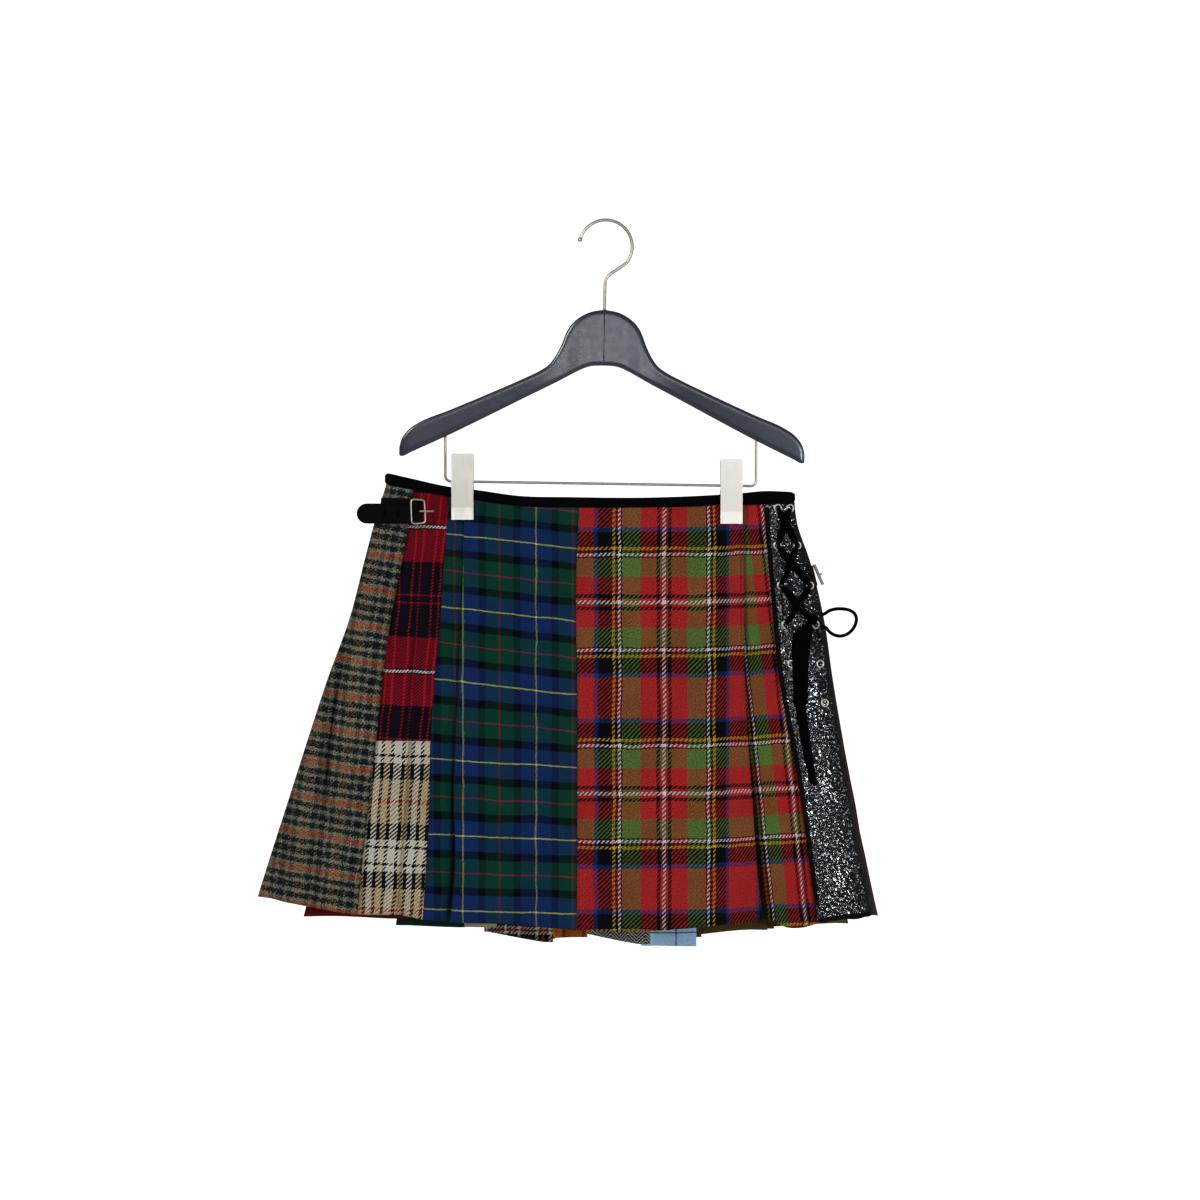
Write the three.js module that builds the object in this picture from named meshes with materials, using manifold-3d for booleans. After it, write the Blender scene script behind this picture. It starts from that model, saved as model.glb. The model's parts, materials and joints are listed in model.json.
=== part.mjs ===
// Mini kilt of patched tartan, tweed and leather, hung by its waistband from a clip hanger.
// Millimetres, +Z up, front towards -Y, origin at the inner top of the hook.
// Left and right are as seen from the front.
import * as THREE from 'three';
import { mergeVertices } from 'three/addons/utils/BufferGeometryUtils.js';
import Module from 'manifold-3d';

const wasm = await Module();
wasm.setup();

// Driving dimensions
const SEAM_GAP = 0.3;          // between pieces that meet
const CLOTH = 1.2;             // wool cloth
const LEATHER = 1.6;           // crinkled leather with its bound edge
const WAIST_PLY = 1.65;        // from one folded layer to the next, at the waist
const HEM_PLY = 2.7;           // the same at the hem
const BAND_THICK = 5.4;
const BAND_MIDDLE = 4.6;       // middle of the waistband, in front of the kilt's middle plane
const HOOK_RADIUS = 26.5;
const HOOK_WIRE = 3.2;
const BAR_WIRE = 2.7;
const HANGER_TILT = 0.0185;    // radians, right side lower
const CLIP_WIDTH = 22;
const CLIP_PLATE = 1.4;
const STRAP_WIDTH = 20;
const LACE_WIDTH = 8;
const LACE_THICK = 1.2;
const LACE_CORD = 3.4;         // the lace where it is rolled round, in the bow's loop
const FOLD_TURN = 14;          // cloth turned under at a front pleat, at the hem

// Outline of the kilt at each level: the lines between its front panels, from left to right,
// its half depth from front to back, and how square its section is.
const LEVELS = [
  { z: -263, left: -216.7, tweed: -190.5, camel: -171, redNavy: -153.5, apron: -137, centre: -23.8,
    pleat: 138.5, leather: 159, right: 189, depth: 6.3, square: 10 },
  { z: -303, left: -229, tweed: -196, camel: -176, redNavy: -156.5, apron: -138, centre: -25.4,
    pleat: 138.5, leather: 161.5, right: 193.2, depth: 6.3, square: 10 },
  { z: -338, left: -238.2, tweed: -202, camel: -180, redNavy: -159.2, apron: -138.5, centre: -26.9,
    pleat: 138.5, leather: 163.9, right: 205.1, depth: 9.5, square: 7 },
  { z: -398, left: -253.8, tweed: -213.4, camel: -184, redNavy: -162.7, apron: -139.8, centre: -27.6,
    pleat: 138.5, leather: 168.9, right: 219.5, depth: 15, square: 5 },
  { z: -458, left: -275.6, tweed: -221.4, camel: -189, redNavy: -168.3, apron: -142.4, centre: -26.3,
    pleat: 138.8, leather: 174.9, right: 228.2, depth: 20, square: 4.2 },
  { z: -518, left: -295.3, tweed: -227.5, camel: -194.3, redNavy: -171.9, apron: -144.8, centre: -26.1,
    pleat: 141.7, leather: 185.9, right: 238.2, depth: 24.5, square: 3.7 },
  { z: -578, left: -314.4, tweed: -234.3, camel: -198.4, redNavy: -172.6, apron: -146.3, centre: -26.3,
    pleat: 147.8, leather: 196.1, right: 248.7, depth: 29, square: 3.3 },
  { z: -638, left: -333.7, tweed: -240.6, camel: -202.9, redNavy: -175.6, apron: -145, centre: -26.4,
    pleat: 154.5, leather: 204.1, right: 260.5, depth: 33, square: 3 },
  { z: -705, left: -354.5, tweed: -246.9, camel: -208, redNavy: -179.5, apron: -150.5, centre: -26.5,
    pleat: 167, leather: 212.5, right: 275.5, depth: 37, square: 3 },
];
const WAIST = -263;
const HEM = -705;
const LEAST_ROW = 4;           // no level closer than this to a panel's upper or lower edge

// Upper and lower edge of the waistband along the front
const BAND = [
  { x: -216, top: -251.4, bottom: -263.4 },
  { x: -190, top: -257.5, bottom: -269 },
  { x: -152, top: -265.6, bottom: -275.5 },
  { x: -129, top: -268.2, bottom: -279.8 },
  { x: -84, top: -274.4, bottom: -285.6 },
  { x: -34, top: -275.6, bottom: -286.8 },
  { x: 48, top: -276, bottom: -286.8 },
  { x: 94, top: -274.4, bottom: -286 },
  { x: 138, top: -271.6, bottom: -283.7 },
  { x: 160, top: -269.6, bottom: -282.9 },
  { x: 189, top: -270.4, bottom: -281.4 },
];

// Height of the front hem
const FRONT_HEM = [
  { x: -345, z: -674.9 },
  { x: -289, z: -684 },
  { x: -247, z: -690 },
  { x: -208, z: -690 },
  { x: -180, z: -695 },
  { x: -150, z: -697 },
  { x: -89, z: -699 },
  { x: -26, z: -704.5 },
  { x: 82, z: -704 },
  { x: 167, z: -697 },
  { x: 187, z: -704 },
  { x: 212, z: -698.5 },
  { x: 272, z: -692.8 },
];

// Back pleats from right to left: the sides of each as a share of the half width, and its hem.
const BACK_PLEATS = [
  { name: 'back_dark_red_right', from: 1, to: 0.887, hemFrom: -694, hemTo: -699, colour: 0x6a1c20 },
  { name: 'back_olive', from: 0.887, to: 0.6, hemFrom: -703, hemTo: -710, colour: 0x6d6526 },
  { name: 'back_brown', from: 0.6, to: 0.386, hemFrom: -711, hemTo: -719, colour: 0x5d4a22 },
  { name: 'back_light_blue', from: 0.386, to: 0.252, hemFrom: -728, hemTo: -728, colour: 0x9fc0dc },
  { name: 'back_grey_herringbone', from: 0.252, to: 0.0365, hemFrom: -726, hemTo: -714, colour: 0x8b8a86 },
  { name: 'back_orange', from: 0.0365, to: -0.052, hemFrom: -719, hemTo: -721, colour: 0xa85a26 },
  { name: 'back_dark_plaid', from: -0.052, to: -0.252, hemFrom: -724, hemTo: -714, colour: 0x6b5a45 },
  { name: 'back_beige_twill', from: -0.252, to: -0.335, hemFrom: -709, hemTo: -709, colour: 0xb7a98c },
  { name: 'back_bottle_green', from: -0.335, to: -0.535, hemFrom: -709, hemTo: -707, colour: 0x12352a },
  { name: 'back_dark_red_left', from: -0.535, to: -0.75, hemFrom: -700, hemTo: -697, colour: 0x6a1c20 },
];

// Eyelets on the leather, in a left and a right column
const EYELETS = [
  { z: -286.6, left: 174, right: 186.5 },
  { z: -324, left: 173.4, right: 193.5 },
  { z: -364, left: 176.8, right: 206.2 },
  { z: -403, left: 181.2, right: 211.5 },
  { z: -442, left: 187, right: 216 },
  { z: -481, left: 195.5, right: 220.5 },
];
const EYELET = { outer: 4.6, hole: 2.3, high: 1.4 };

// Half of the hanger's body, from its middle outwards
const ARM = [
  { out: 0, top: -88.3, bottom: -144.2, thick: 13 },
  { out: 14, top: -90.8, bottom: -145.3, thick: 13 },
  { out: 24, top: -95.8, bottom: -149.3, thick: 13 },
  { out: 31, top: -101.5, bottom: -153, thick: 12.5 },
  { out: 36.5, top: -109.1, bottom: -156, thick: 12 },
  { out: 42.6, top: -124.2, bottom: -159.4, thick: 12 },
  { out: 48.1, top: -135.3, bottom: -162.3, thick: 12 },
  { out: 54.9, top: -144.4, bottom: -165.8, thick: 12 },
  { out: 63.2, top: -150.2, bottom: -170, thick: 12 },
  { out: 78.2, top: -157.8, bottom: -177.7, thick: 12 },
  { out: 112.5, top: -173.5, bottom: -195.5, thick: 12 },
  { out: 153.7, top: -191.6, bottom: -216.4, thick: 12 },
  { out: 181.1, top: -203.1, bottom: -229.5, thick: 11 },
  { out: 192, top: -210, bottom: -234.6, thick: 10 },
  { out: 200.3, top: -220.6, bottom: -238.4, thick: 8 },
  { out: 202.7, top: -229, bottom: -237.5, thick: 5 },
];
const ARM_BEVEL = 3.6;

// Value of one column of a table at a place between its rows
function lookUp(table, key, place, column) {
  const up = table[1][key] > table[0][key] ? 1 : -1;
  let i = 1;
  while (i < table.length - 1 && up * table[i][key] < up * place) i += 1;
  const a = table[i - 1];
  const b = table[i];
  return THREE.MathUtils.lerp(a[column], b[column], (place - a[key]) / (b[key] - a[key]));
}

const edgeAt = (edge, z) => lookUp(LEVELS, 'z', z, edge);
const share = (z) => THREE.MathUtils.clamp((WAIST - z) / (WAIST - HEM), 0, 1);
const plyAt = (z) => THREE.MathUtils.lerp(WAIST_PLY, HEM_PLY, share(z));

// Half depth of the kilt's section at a place across it
function depthAt(x, z) {
  const left = edgeAt('left', z);
  const right = edgeAt('right', z);
  const off = Math.abs(2 * x - left - right) / (right - left);
  return edgeAt('depth', z) * Math.sqrt(Math.max(0, 1 - off ** edgeAt('square', z)));
}

// Makes one closed body whose faces point outwards
function closedBody(points, faces) {
  const cross = new THREE.Vector3();
  const volume = faces.reduce((sum, [a, b, c]) => (
    sum + points[a].dot(cross.crossVectors(points[b], points[c]))), 0);
  const geometry = new THREE.BufferGeometry().setFromPoints(points);
  geometry.setIndex(faces.flatMap(([a, b, c]) => (volume > 0 ? [a, b, c] : [a, c, b])));
  return geometry;
}

// Merges the shared vertices of a three.js geometry into one closed body
function closedFrom(source) {
  const bare = source.index ? source.toNonIndexed() : source.clone();
  bare.deleteAttribute('normal');
  bare.deleteAttribute('uv');
  const merged = mergeVertices(bare, 1e-3);
  const position = merged.getAttribute('position');
  const points = Array.from({ length: position.count }, (_, i) => (
    new THREE.Vector3().fromBufferAttribute(position, i)));
  const faces = [];
  for (let i = 0; i < merged.index.count; i += 3) {
    const face = [0, 1, 2].map((k) => merged.index.getX(i + k));
    if (new Set(face).size === 3) faces.push(face);
  }
  return closedBody(points, faces);
}

// Joins closed bodies into one
function joined(...geometries) {
  const solids = geometries.map((geometry) => new wasm.Manifold(new wasm.Mesh({
    numProp: 3,
    vertProperties: new Float32Array(geometry.getAttribute('position').array),
    triVerts: new Uint32Array(geometry.index.array),
  })));
  const mesh = solids.reduce((a, b) => a.add(b)).getMesh();
  const geometry = new THREE.BufferGeometry();
  geometry.setAttribute('position', new THREE.BufferAttribute(mesh.vertProperties, 3));
  geometry.setIndex(new THREE.BufferAttribute(mesh.triVerts, 1));
  return geometry;
}

// Skins rings of points, each with the same count, and closes both ends
function loft(rings) {
  const n = rings[0].length;
  const faces = [];
  for (let r = 0; r + 1 < rings.length; r += 1) {
    for (let i = 0; i < n; i += 1) {
      const j = (i + 1) % n;
      faces.push([r * n + i, r * n + j, (r + 1) * n + j], [r * n + i, (r + 1) * n + j, (r + 1) * n + i]);
    }
  }
  const last = (rings.length - 1) * n;
  for (let i = 1; i + 1 < n; i += 1) faces.push([0, i + 1, i], [last, last + i, last + i + 1]);
  return closedBody(rings.flat(), faces);
}

// A wall of cloth: lines[r][c] are points level by level along the cloth, thick[r] is the wall's
// thickness at that level, and lift is how far its middle stands outside the line.
function wall(lines, thick, lift = 0) {
  const sides = [1, -1].map((side) => lines.map((line, r) => line.map((p, c) => {
    const turns = [[c - 1, c], [c, c + 1]]
      .filter(([a, b]) => a >= 0 && b < line.length)
      .map(([a, b]) => new THREE.Vector2(line[b].y - line[a].y, line[a].x - line[b].x).normalize());
    const normal = turns.reduce((a, b) => a.clone().add(b)).normalize();
    const reach = (lift + side * thick[r] / 2) / Math.max(0.6, normal.dot(turns[0]));
    return new THREE.Vector3(p.x + normal.x * reach, p.y + normal.y * reach, p.z);
  })));
  const rows = lines.length;
  const n = lines[0].length;
  const at = (side, r, c) => side * rows * n + r * n + c;
  const faces = [];
  const quad = (a, b, c, d) => faces.push([a, b, c], [a, c, d]);
  for (let r = 0; r + 1 < rows; r += 1) {
    for (let c = 0; c + 1 < n; c += 1) {
      quad(at(0, r, c), at(0, r + 1, c), at(0, r + 1, c + 1), at(0, r, c + 1));
      quad(at(1, r, c), at(1, r, c + 1), at(1, r + 1, c + 1), at(1, r + 1, c));
    }
    quad(at(1, r, 0), at(1, r + 1, 0), at(0, r + 1, 0), at(0, r, 0));
    quad(at(0, r, n - 1), at(0, r + 1, n - 1), at(1, r + 1, n - 1), at(1, r, n - 1));
  }
  for (let c = 0; c + 1 < n; c += 1) {
    quad(at(0, 0, c), at(0, 0, c + 1), at(1, 0, c + 1), at(1, 0, c));
    quad(at(0, rows - 1, c + 1), at(0, rows - 1, c), at(1, rows - 1, c), at(1, rows - 1, c + 1));
  }
  return closedBody(sides.flat(2), faces);
}

// A panel of the kilt. Each station says where the cloth passes: between two edges (or a share
// of the half width), a shift that opens towards the hem, how many plies it lies in, and on
// which face of the kilt it is: -1 front, 1 back. At the side itself y is given instead.
function panel(stations, { thick = CLOTH, lift = 0, top, bottom } = {}) {
  const placed = (station, z) => {
    const { from, to = from, f = 0, shift = 0, share: across } = station;
    const middle = (edgeAt('left', z) + edgeAt('right', z)) / 2;
    const half = (edgeAt('right', z) - edgeAt('left', z)) / 2;
    const base = across === undefined
      ? THREE.MathUtils.lerp(edgeAt(from, z), edgeAt(to, z), f)
      : middle + half * across;
    return base + shift * THREE.MathUtils.lerp(0.5, 1, share(z));
  };
  const tops = stations.map((station) => (
    top ?? lookUp(BAND, 'x', placed(station, WAIST), 'bottom') - SEAM_GAP));
  const hems = stations.map((station) => (
    station.hem ?? bottom ?? lookUp(FRONT_HEM, 'x', placed(station, HEM), 'z')));
  const between = LEVELS.map(({ z }) => z)
    .filter((z) => z < Math.min(...tops) - LEAST_ROW && z > Math.max(...hems) + LEAST_ROW);
  const lines = [tops, ...between.map((z) => stations.map(() => z)), hems].map((heights) => (
    stations.map((station, c) => {
      const z = heights[c];
      const x = placed(station, z);
      const layer = (station.ply ?? 0) * plyAt(z) + (station.open ?? 0) * share(z) ** 2;
      const side = station.side ?? -1;
      const y = station.y ?? side * (depthAt(x, z) - layer);
      return new THREE.Vector3(x + (station.nose ?? 0) * plyAt(z), y, z);
    })));
  return wall(lines, lines.map(() => thick), lift);
}

// Place on the outside of the front, moved out by a lift from the middle of the outer ply
const onFront = (x, z, lift) => new THREE.Vector3(x, -depthAt(x, z) - lift, z);

// A flat band along a route on the front: its sides follow the cloth, its ends are square.
function ribbon(route, width, thick, lift) {
  return loft(route.map(([x, z], i) => {
    const [ax, az] = route[Math.max(0, i - 1)];
    const [bx, bz] = route[Math.min(route.length - 1, i + 1)];
    const along = new THREE.Vector2(bx - ax, bz - az).normalize();
    const half = (Array.isArray(width) ? width[i] : width) / 2;
    const near = Array.isArray(lift) ? lift[i] : lift;
    return [[1, 0], [-1, 0], [-1, thick], [1, thick]].map(([side, up]) => (
      onFront(x - side * half * along.y, z + side * half * along.x, near + up)));
  }));
}

// A round wire along points that a smooth curve joins
function wire(points, diameter, steps, sides = 8) {
  const curve = new THREE.CatmullRomCurve3(points, false, 'centripetal');
  const round = new THREE.Shape();
  round.absarc(0, 0, diameter / 2, 0, Math.PI * 2);
  const section = new THREE.Shape(round.getPoints(sides / 4).slice(0, -1));
  return closedFrom(new THREE.ExtrudeGeometry(section, { steps, extrudePath: curve }));
}

// A rectangle about the origin, given by half its sides
const rectangle = (x, y) => new THREE.Shape([[-x, -y], [x, -y], [x, y], [-x, y]]
  .map(([px, py]) => new THREE.Vector2(px, py)));

// A box given by its lowest and highest corner
function block(low, high) {
  const size = high.map((value, i) => value - low[i]);
  const middle = high.map((value, i) => (value + low[i]) / 2);
  return closedFrom(new THREE.BoxGeometry(...size).translate(...middle));
}

const kilt = new THREE.Group();

// Adds a named piece in its own material
function add(name, geometry, colour, roughness = 0.9, metalness = 0, group = kilt) {
  const material = new THREE.MeshStandardMaterial({ color: colour, roughness, metalness, side: THREE.FrontSide });
  const mesh = new THREE.Mesh(geometry, material);
  mesh.name = name;
  group.add(mesh);
  return mesh;
}

const NICKEL = 0xb5ada0;
const STEEL = 0xd8d4cf;
const LACQUER = 0x15171b;
const BLACK_CLOTH = 0x0b0b12;
const BLACK_LEATHER = 0x0a0a0c;

// Hook: a straight shank, a slanting neck and three fifths of a circle, with a ball at its tip
function addHook() {
  const centre = HOOK_WIRE / 2 - HOOK_RADIUS;
  const shankTop = -64;
  const points = [new THREE.Vector3(0, 0, -88), new THREE.Vector3(0, 0, -76), new THREE.Vector3(0, 0, shankTop)];
  points.push(new THREE.Vector3(3, 0, -54.6), new THREE.Vector3(13, 0, -47));
  const start = -36;
  const end = 166;
  const steps = 14;
  for (let i = 0; i <= steps; i += 1) {
    const angle = THREE.MathUtils.degToRad(start + (end - start) * i / steps);
    points.push(new THREE.Vector3(HOOK_RADIUS * Math.cos(angle), 0, centre + HOOK_RADIUS * Math.sin(angle)));
  }
  const tip = points[points.length - 1];
  const ball = closedFrom(new THREE.SphereGeometry(2.3, 10, 8).translate(tip.x, tip.y, tip.z));
  add('hanger_hook', joined(wire(points, HOOK_WIRE, 48), ball), NICKEL, 0.3, 1);
}

// Hanger body: two halves that meet in the middle, tilted as they hang
function addHanger() {
  const body = new THREE.Group();
  body.rotation.y = HANGER_TILT;
  body.position.x = -ARM[0].bottom * Math.sin(HANGER_TILT);
  kilt.add(body);
  for (const [name, side] of [['hanger_arm_left', -1], ['hanger_arm_right', 1]]) {
    const rings = ARM.map(({ out, top, bottom, thick }) => {
      const x = side * Math.max(out, SEAM_GAP / 2);
      const y = thick / 2;
      const bevel = Math.min(ARM_BEVEL, y * 0.7);
      return [
        [y - bevel, top], [y, top - bevel], [y, bottom + bevel], [y - bevel, bottom],
        [bevel - y, bottom], [-y, bottom + bevel], [-y, top - bevel], [bevel - y, top],
      ].map(([py, pz]) => new THREE.Vector3(x, py, pz));
    });
    add(name, loft(rings), LACQUER, 0.35, 0, body);
  }
}

// Height of the hanger's underside at a place across it
const undersideAt = (x) => lookUp(ARM, 'out', Math.abs(x), 'bottom') - HANGER_TILT * x;

// Clip bar: a wire that hangs from both arms, with rounded corners
const BAR = { left: -158.2, right: 152.5, leftZ: -259.7, rightZ: -264.5, bend: 5.5, seat: 1.2 };
const barAt = (x) => THREE.MathUtils.mapLinear(x, BAR.left, BAR.right, BAR.leftZ, BAR.rightZ);

function addClipBar() {
  const corner = (x, z, side) => [0, 1, 2].map((i) => {
    const angle = side < 0 ? Math.PI + i * Math.PI / 4 : -Math.PI / 2 + i * Math.PI / 4;
    const inward = x - side * BAR.bend;
    return new THREE.Vector3(inward + BAR.bend * Math.cos(angle), 0, z + BAR.bend + BAR.bend * Math.sin(angle));
  });
  const leftTop = undersideAt(BAR.left) - BAR.seat;
  const rightTop = undersideAt(BAR.right) - BAR.seat;
  const points = [
    new THREE.Vector3(BAR.left, 0, leftTop),
    new THREE.Vector3(BAR.left, 0, (leftTop + BAR.leftZ) / 2),
    ...corner(BAR.left, BAR.leftZ, -1),
    ...[-150, -125, -75, 75, 112, 144].map((x) => new THREE.Vector3(x, 0, barAt(x))),
    ...corner(BAR.right, BAR.rightZ, 1),
    new THREE.Vector3(BAR.right, 0, (rightTop + BAR.rightZ) / 2),
    new THREE.Vector3(BAR.right, 0, rightTop),
  ];
  add('clip_bar', wire(points, BAR_WIRE, 40), NICKEL, 0.3, 1);
}

// Clips: two sprung plates with lugs that reach the bar, and a spring sleeve round the bar
const CLIPS = [
  { side: 'left', x: -140.7, top: -232.4, bottom: -298.4 },
  { side: 'right', x: 127.7, top: -237.9, bottom: -302.4 },
];
const JAW = { grip: 7.75, waist: 9.2, mouth: 10.5, gripHigh: 12, lug: 1.2, lugHigh: 5, sleeve: 2.6 };

function addClips() {
  for (const { side, x, top, bottom } of CLIPS) {
    const pivot = barAt(x);
    for (const [face, front] of [['front', -1], ['back', 1]]) {
      const profile = [
        [top, JAW.mouth], [pivot, JAW.waist], [bottom + JAW.gripHigh, JAW.grip], [bottom, JAW.grip],
      ];
      const plate = loft(profile.map(([z, y]) => [
        [-CLIP_WIDTH / 2, y], [CLIP_WIDTH / 2, y],
        [CLIP_WIDTH / 2, y + CLIP_PLATE], [-CLIP_WIDTH / 2, y + CLIP_PLATE],
      ].map(([px, py]) => new THREE.Vector3(x + px, front * py, z))));
      const lugs = [-1, 1].map((end) => {
        const outer = x + end * CLIP_WIDTH / 2;
        const ys = [front * (BAR_WIRE / 2 + SEAM_GAP), front * (JAW.waist + 0.5)].sort((a, b) => a - b);
        const xs = [outer, outer - end * JAW.lug].sort((a, b) => a - b);
        return block([xs[0], ys[0], pivot - JAW.lugHigh], [xs[1], ys[1], pivot + JAW.lugHigh]);
      });
      add(`clip_${side}_${face}`, joined(plate, ...lugs), STEEL, 0.35, 1);
    }
    const half = CLIP_WIDTH / 2 - JAW.lug - SEAM_GAP;
    const inner = BAR_WIRE / 2 + SEAM_GAP;
    const ring = [[inner, -half], [JAW.sleeve, -half], [JAW.sleeve, half], [inner, half], [inner, -half]];
    const sleeve = new THREE.LatheGeometry(ring.map(([r, h]) => new THREE.Vector2(r, h)), 12);
    const slope = (BAR.rightZ - BAR.leftZ) / (BAR.right - BAR.left);
    const turned = closedFrom(sleeve).rotateZ(Math.PI / 2).rotateY(-slope).translate(x, 0, pivot);
    add(`clip_${side}_spring`, turned, STEEL, 0.4, 1);
  }
}

// Waistband: one binding along the front and one along the back, which turn in at the sides
function addWaistband() {
  const rounding = [[0, 0.55], [0.16, 1], [0.84, 1], [1, 0.55]];
  for (const [name, side] of [['waistband_front', -1], ['waistband_back', 1]]) {
    const lines = rounding.map(([down]) => BAND.map(({ x, top, bottom }) => (
      new THREE.Vector3(x, side * BAND_MIDDLE, THREE.MathUtils.lerp(top, bottom, down)))));
    add(name, wall(lines, rounding.map(([, full]) => BAND_THICK * full)), BLACK_CLOTH);
  }
}

// The folded edge of a knife pleat: the cloth turns under itself. Away is 1 or -1, the side
// that the fold points to, and under is how far the cloth goes back.
const foldedEdge = (edge, away, ply, under, step = 1.1) => [
  { from: edge, ply },
  { from: edge, nose: 0.45 * away, ply: ply + step / 2 },
  { from: edge, ply: ply + step },
  { from: edge, shift: -away * under, ply: ply + step * 1.1 },
];

// The tweed wraps the left side, from the back pleats round to its fold on the front
function addTweed() {
  const side = (across, face) => ({ share: across, side: face });
  add('tweed_panel', panel([
    side(-0.8, 1), side(-0.9, 1), side(-0.965, 1), side(-1, -1), side(-0.965, -1), side(-0.9, -1),
    { from: 'left', to: 'tweed', f: 0.5 },
    { from: 'left', to: 'tweed', f: 0.78, open: 2.2 },
    ...foldedEdge('tweed', 1, 0, 9, 1),
  ]), 0x7d7a68);
}

const PATCH_SEAM = -518;

// The red and navy cloth, with the camel patch sewn to its lower edge. The patch is a knife
// pleat, whose left face lies over its right face.
function addRedNavy() {
  add('red_navy_panel', panel([
    { from: 'tweed', shift: -7, ply: 2.1 },
    { from: 'tweed', shift: 1, ply: 2 },
    { from: 'camel', shift: -1, ply: 1.3, open: -1.6 },
    { from: 'camel', shift: 2.5, ply: 1.5, open: 3 },
    { from: 'redNavy', shift: -SEAM_GAP / 2, ply: 1.9 },
  ], { bottom: PATCH_SEAM }), 0x7d1424);
  add('camel_patch_left', panel([
    { from: 'tweed', shift: -7, ply: 2.1 },
    { from: 'tweed', shift: 1, ply: 2 },
    ...foldedEdge('camel', 1, 0.7, 7, 1),
  ], { top: PATCH_SEAM - SEAM_GAP }), 0xb59f85);
  add('camel_patch_right', panel([
    { from: 'camel', shift: -6, ply: 2.9 },
    { from: 'camel', shift: 3, ply: 2.8 },
    { from: 'redNavy', shift: -SEAM_GAP / 2, ply: 1.9 },
  ], { top: PATCH_SEAM - SEAM_GAP }), 0xb59f85);
}

// Blue and green cloth: its under face runs beneath the apron's folded left edge, turns and
// comes forward as the apron.
function addBlueGreen() {
  add('blue_green_panel', panel([
    { from: 'redNavy', shift: SEAM_GAP / 2, ply: 1.9 },
    { from: 'apron', shift: FOLD_TURN, ply: 2.2 },
    { from: 'apron', shift: FOLD_TURN, nose: 0.45, ply: 1.65 },
    { from: 'apron', shift: FOLD_TURN, ply: 1.1 },
    { from: 'apron', ply: 1.1 },
    { from: 'apron', nose: -0.45, ply: 0.55 },
    { from: 'apron' },
    { from: 'apron', to: 'centre', f: 0.07 },
    { from: 'apron', to: 'centre', f: 0.46 },
    { from: 'apron', to: 'centre', f: 0.8 },
    { from: 'centre', shift: -SEAM_GAP },
  ]), 0x14308a);
}

// Red tartan: the main face folds under at its right, comes back as a second face and ends
// beneath the leather's edge.
function addRedTartan() {
  add('red_tartan_panel', panel([
    { from: 'centre', shift: SEAM_GAP },
    { from: 'centre', to: 'pleat', f: 0.44 },
    { from: 'centre', to: 'pleat', f: 0.72 },
    { from: 'pleat' },
    { from: 'pleat', nose: 0.45, ply: 0.55 },
    { from: 'pleat', ply: 1.1 },
    { from: 'pleat', shift: -FOLD_TURN, ply: 1.1 },
    { from: 'pleat', shift: -FOLD_TURN, nose: -0.45, ply: 1.65 },
    { from: 'pleat', shift: -FOLD_TURN, ply: 2.2 },
    { from: 'pleat', shift: 3, ply: 2.2 },
    { from: 'pleat', to: 'leather', f: 0.5, ply: 1.5, hem: -703.5 },
    { from: 'leather', shift: 6, ply: 1.1 },
  ]), 0xc1202a);
}

// Leather wraps the right side up to its bound edge
function addLeather() {
  add('leather_panel', panel([
    { from: 'leather' },
    { from: 'leather', to: 'right', f: 0.28 },
    { from: 'leather', to: 'right', f: 0.6 },
    { share: 0.93 },
    { share: 0.975 },
    { share: 1, y: -2 * SEAM_GAP },
  ], { thick: LEATHER }), BLACK_LEATHER, 0.25);
}

// Back pleats: each face starts beneath its right neighbour's fold and ends in a fold of its own
function addBackPleats() {
  const RETURN_SHARE = 0.25;
  const DEEPEST = 2.5;
  BACK_PLEATS.forEach(({ name, from, to, hemFrom, hemTo, colour }, i) => {
    const under = (from - to) * RETURN_SHARE;
    const station = (across, ply, nose = 0) => ({
      share: across, side: 1, ply, nose, hem: THREE.MathUtils.mapLinear(across, from, to, hemFrom, hemTo),
    });
    const before = BACK_PLEATS[i - 1];
    const tuck = before ? (before.from - before.to) * RETURN_SHARE * 0.7 : 0;
    const start = before
      ? [station(from + tuck, DEEPEST + 0.1), station(from - under * 0.15, DEEPEST)]
      : [{ ...station(1, 0, 0.4), y: 2 * SEAM_GAP }, station(0.985, 0, 0.2), station(0.94, 0.3)];
    const isLast = i === BACK_PLEATS.length - 1;
    const end = isLast
      ? [station(to, 1.2), station(-0.84, 1.1)]
      : [station(to, 0), station(to, 0.5, -0.45), station(to, 1), station(to + under, 1 + DEEPEST * RETURN_SHARE)];
    add(name, panel([...start, ...end]), colour);
  });
}

// Leather strap of the left buckle, the strap beneath it, the buckle's frame and its prong
const LEFT_STRAP = { tip: -246, end: -182, z: -292.2, underLeft: -222, underTop: -275.6, y: 6.6 };
const BUCKLE = { left: -192.5, right: -177.5, top: -278, bottom: -302.4, bar: 2.2, deep: 2 };

function flatStrap(stations, height, thick) {
  return loft(stations.map(({ x, y, z, narrow = 0 }) => {
    const half = height / 2 - narrow;
    return [[y, half], [y, -half], [y + thick, -half], [y + thick, half]]
      .map(([py, pz]) => new THREE.Vector3(x, -py, z + pz));
  }));
}

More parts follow.
